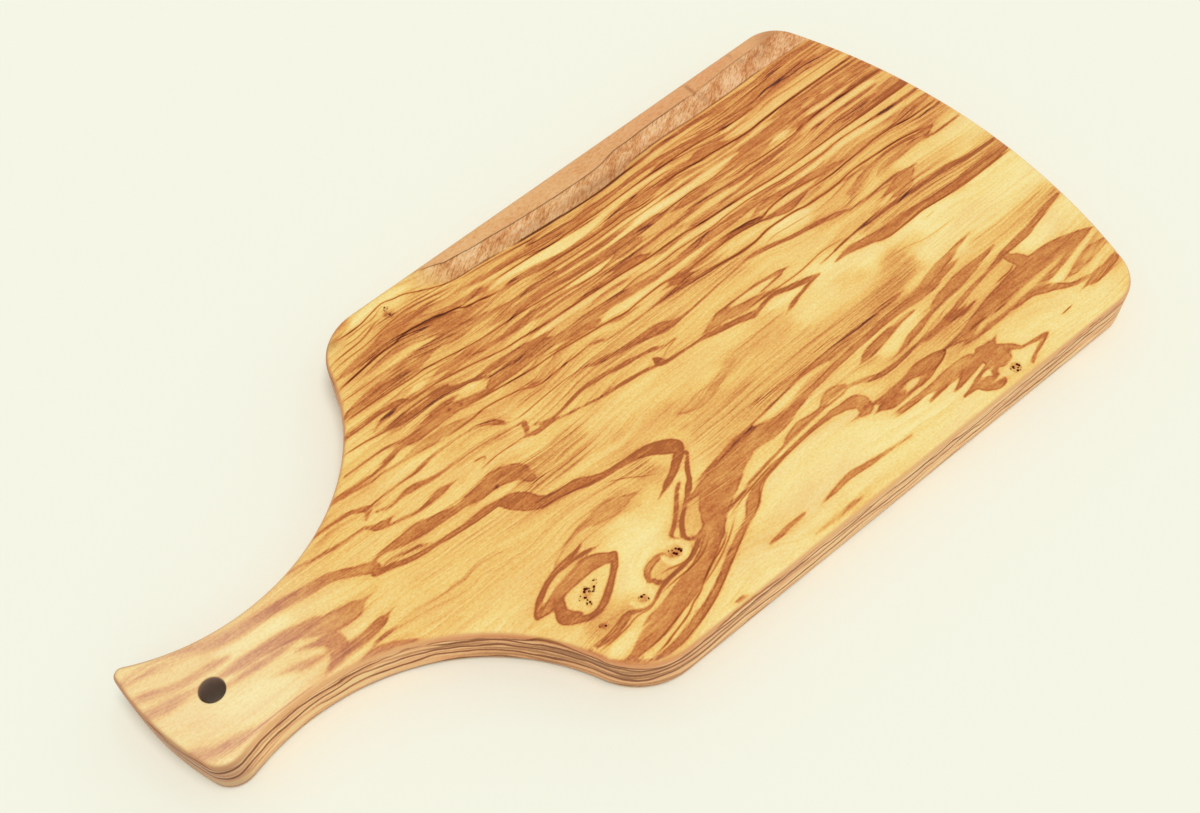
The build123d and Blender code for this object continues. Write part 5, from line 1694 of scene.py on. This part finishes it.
class StageSettings(bpy.types.PropertyGroup):
    """The floor, lamps and camera."""

    paper: tint("Paper", "Colour of the floor and backdrop", "#F5F6E6")
    paper_side: size("Paper side", "Side of the square floor", 12000)
    room_light: strength("Room light", "Even light from all round", 0.58)
    lamp_light: strength("Lamp", "Strength of the soft lamp overhead", 1.34)
    lamp_angle: angle("Lamp size", "How wide the soft lamp looks", 24)
    lamp_to_right: angle("Lamp to the right", "How far the lamp leans to the board's right side", 10)
    lamp_to_end: angle("Lamp to the end", "How far the lamp leans to the board's far end", 2)
    lens: bpy.props.FloatProperty(name="Lens", description="Focal length on a 36 mm sensor",
                                  default=42.03, min=1.0, unit="CAMERA")
    view_turn: angle("Turn", "Camera azimuth; 0 looks along +Y", -40.865)
    view_height: angle("Height", "Camera elevation", 56.111)
    view_roll: angle("Roll", "How far the camera leans", -1.393)
    view_distance: size("Distance", "From the camera to the point it looks at", 531.97)
    view_target: bpy.props.FloatVectorProperty(
        name="Looks at", description="Point that the camera looks at", size=3, subtype="TRANSLATION",
        default=(-4.367 * MM, 7.715 * MM, 0.0), unit="LENGTH", precision=5)


def make_floor(scene, stage, height):
    """A large square of paper under the board."""
    half = stage.paper_side / 2
    mesh = bpy.data.meshes.new("floor")
    mesh.from_pydata([(x * half, y * half, height) for x, y in ((-1, -1), (1, -1), (1, 1), (-1, 1))],
                     [], [(0, 1, 2, 3)])
    mesh.materials.append(backdrop_paper(tuple(stage.paper)))
    floor = bpy.data.objects.new("floor", mesh)
    scene.collection.objects.link(floor)


def make_lamp(scene, stage):
    """A soft lamp almost straight overhead."""
    data = bpy.data.lights.new("soft_lamp", "SUN")
    data.energy = stage.lamp_light
    data.angle = stage.lamp_angle
    lamp = bpy.data.objects.new("soft_lamp", data)
    lamp.rotation_euler = (stage.lamp_to_right, stage.lamp_to_end, 0)
    scene.collection.objects.link(lamp)


def make_room(scene, stage):
    """Even light from all round, which the camera and reflections see as the paper's colour."""
    world = bpy.data.worlds.new("studio")
    world.use_nodes = True
    tree = world.node_tree
    tree.nodes.clear()
    rays = add_node(tree, "ShaderNodeLightPath")
    seen = 0.0
    for ray in ("Is Camera Ray", "Is Glossy Ray", "Is Transmission Ray"):
        seen = add_node(tree, "ShaderNodeMath", {0: rays.outputs[ray], 1: seen},
                        operation="MAXIMUM").outputs[0]
    light = add_node(tree, "ShaderNodeBackground", {"Color": (1, 1, 1, 1), "Strength": stage.room_light})
    shown = add_node(tree, "ShaderNodeBackground", {"Color": (*stage.paper, 1), "Strength": 1.0})
    either = add_node(tree, "ShaderNodeMixShader", {0: seen, 1: light.outputs[0], 2: shown.outputs[0]})
    add_node(tree, "ShaderNodeOutputWorld", {"Surface": either.outputs[0]})
    scene.world = world


def make_camera(scene, stage):
    """The camera, turned and raised about the point that it looks at."""
    data = bpy.data.cameras.new("camera")
    data.sensor_width = 36
    data.lens = stage.lens
    data.clip_start = 0.01
    data.clip_end = 100
    turn, height, roll = stage.view_turn, stage.view_height, stage.view_roll
    level = math.cos(height)
    back = Vector((math.sin(turn) * level, -math.cos(turn) * level, math.sin(height)))
    right = (-back).cross(Vector((0, 0, 1))).normalized()
    up = right.cross(-back)
    leaning_right = math.cos(roll) * right + math.sin(roll) * up
    leaning_up = math.cos(roll) * up - math.sin(roll) * right
    camera = bpy.data.objects.new("camera", data)
    turned = Matrix((leaning_right, leaning_up, back)).transposed().to_4x4()
    camera.matrix_world = Matrix.Translation(Vector(stage.view_target) + stage.view_distance * back) @ turned
    scene.collection.objects.link(camera)
    scene.camera = camera


class BOARD_OT_make_board(bpy.types.Operator):
    """Make the olive wood board"""

    bl_idname = "board.make_board"
    bl_label = "Make board"

    def execute(self, context):
        low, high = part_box(BOARD_NODE)
        length, thickness = (high.x - low.x) / MM, (high.z - low.z) / MM
        wood = context.scene.wood_colours
        colours = {name: tuple(getattr(wood, name)) for name in WoodColours.__annotations__}
        mesh = make_board_mesh("serving_board", context.scene.board_sizes, length, thickness)
        board = bpy.data.objects.new("serving_board", mesh)
        context.scene.collection.objects.link(board)
        mesh.materials.append(olive_wood(colours, thickness))
        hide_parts(BOARD_NODE)
        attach(board, "root")
        return {"FINISHED"}


class BOARD_OT_set_stage(bpy.types.Operator):
    """Set the floor, the soft lamp, the room light and the camera"""

    bl_idname = "board.set_stage"
    bl_label = "Set stage"

    def execute(self, context):
        scene, stage = context.scene, context.scene.stage_settings
        low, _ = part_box(BOARD_NODE)
        make_floor(scene, stage, low.z)
        make_lamp(scene, stage)
        make_room(scene, stage)
        make_camera(scene, stage)
        scene.view_settings.view_transform = "Standard"
        return {"FINISHED"}


class BOARD_PT_panel(bpy.types.Panel):
    """Lists the board's settings and operators"""

    bl_idname = "BOARD_PT_panel"
    bl_label = "Paddle charcuterie board"
    bl_space_type = "VIEW_3D"
    bl_region_type = "UI"
    bl_category = "Board"

    def draw(self, context):
        for group, operator in (("board_sizes", BOARD_OT_make_board), ("wood_colours", None),
                                ("stage_settings", BOARD_OT_set_stage)):
            box = self.layout.box()
            settings = getattr(context.scene, group)
            for name in type(settings).__annotations__:
                box.prop(settings, name)
            if operator:
                box.operator(operator.bl_idname)


CLASSES = (BoardSizes, WoodColours, StageSettings, BOARD_OT_make_board, BOARD_OT_set_stage, BOARD_PT_panel)
GROUPS = {"board_sizes": BoardSizes, "wood_colours": WoodColours, "stage_settings": StageSettings}


def register():
    """Registers the classes and hangs their settings on the scene."""
    for each in CLASSES:
        bpy.utils.register_class(each)
    for name, group in GROUPS.items():
        setattr(bpy.types.Scene, name, bpy.props.PointerProperty(type=group))


def unregister():
    """Takes the settings and classes away again."""
    for name in GROUPS:
        delattr(bpy.types.Scene, name)
    for each in reversed(CLASSES):
        bpy.utils.unregister_class(each)


def main():
    register()
    bpy.ops.board.set_stage()
    bpy.ops.board.make_board()


if __name__ == "__main__":
    main()
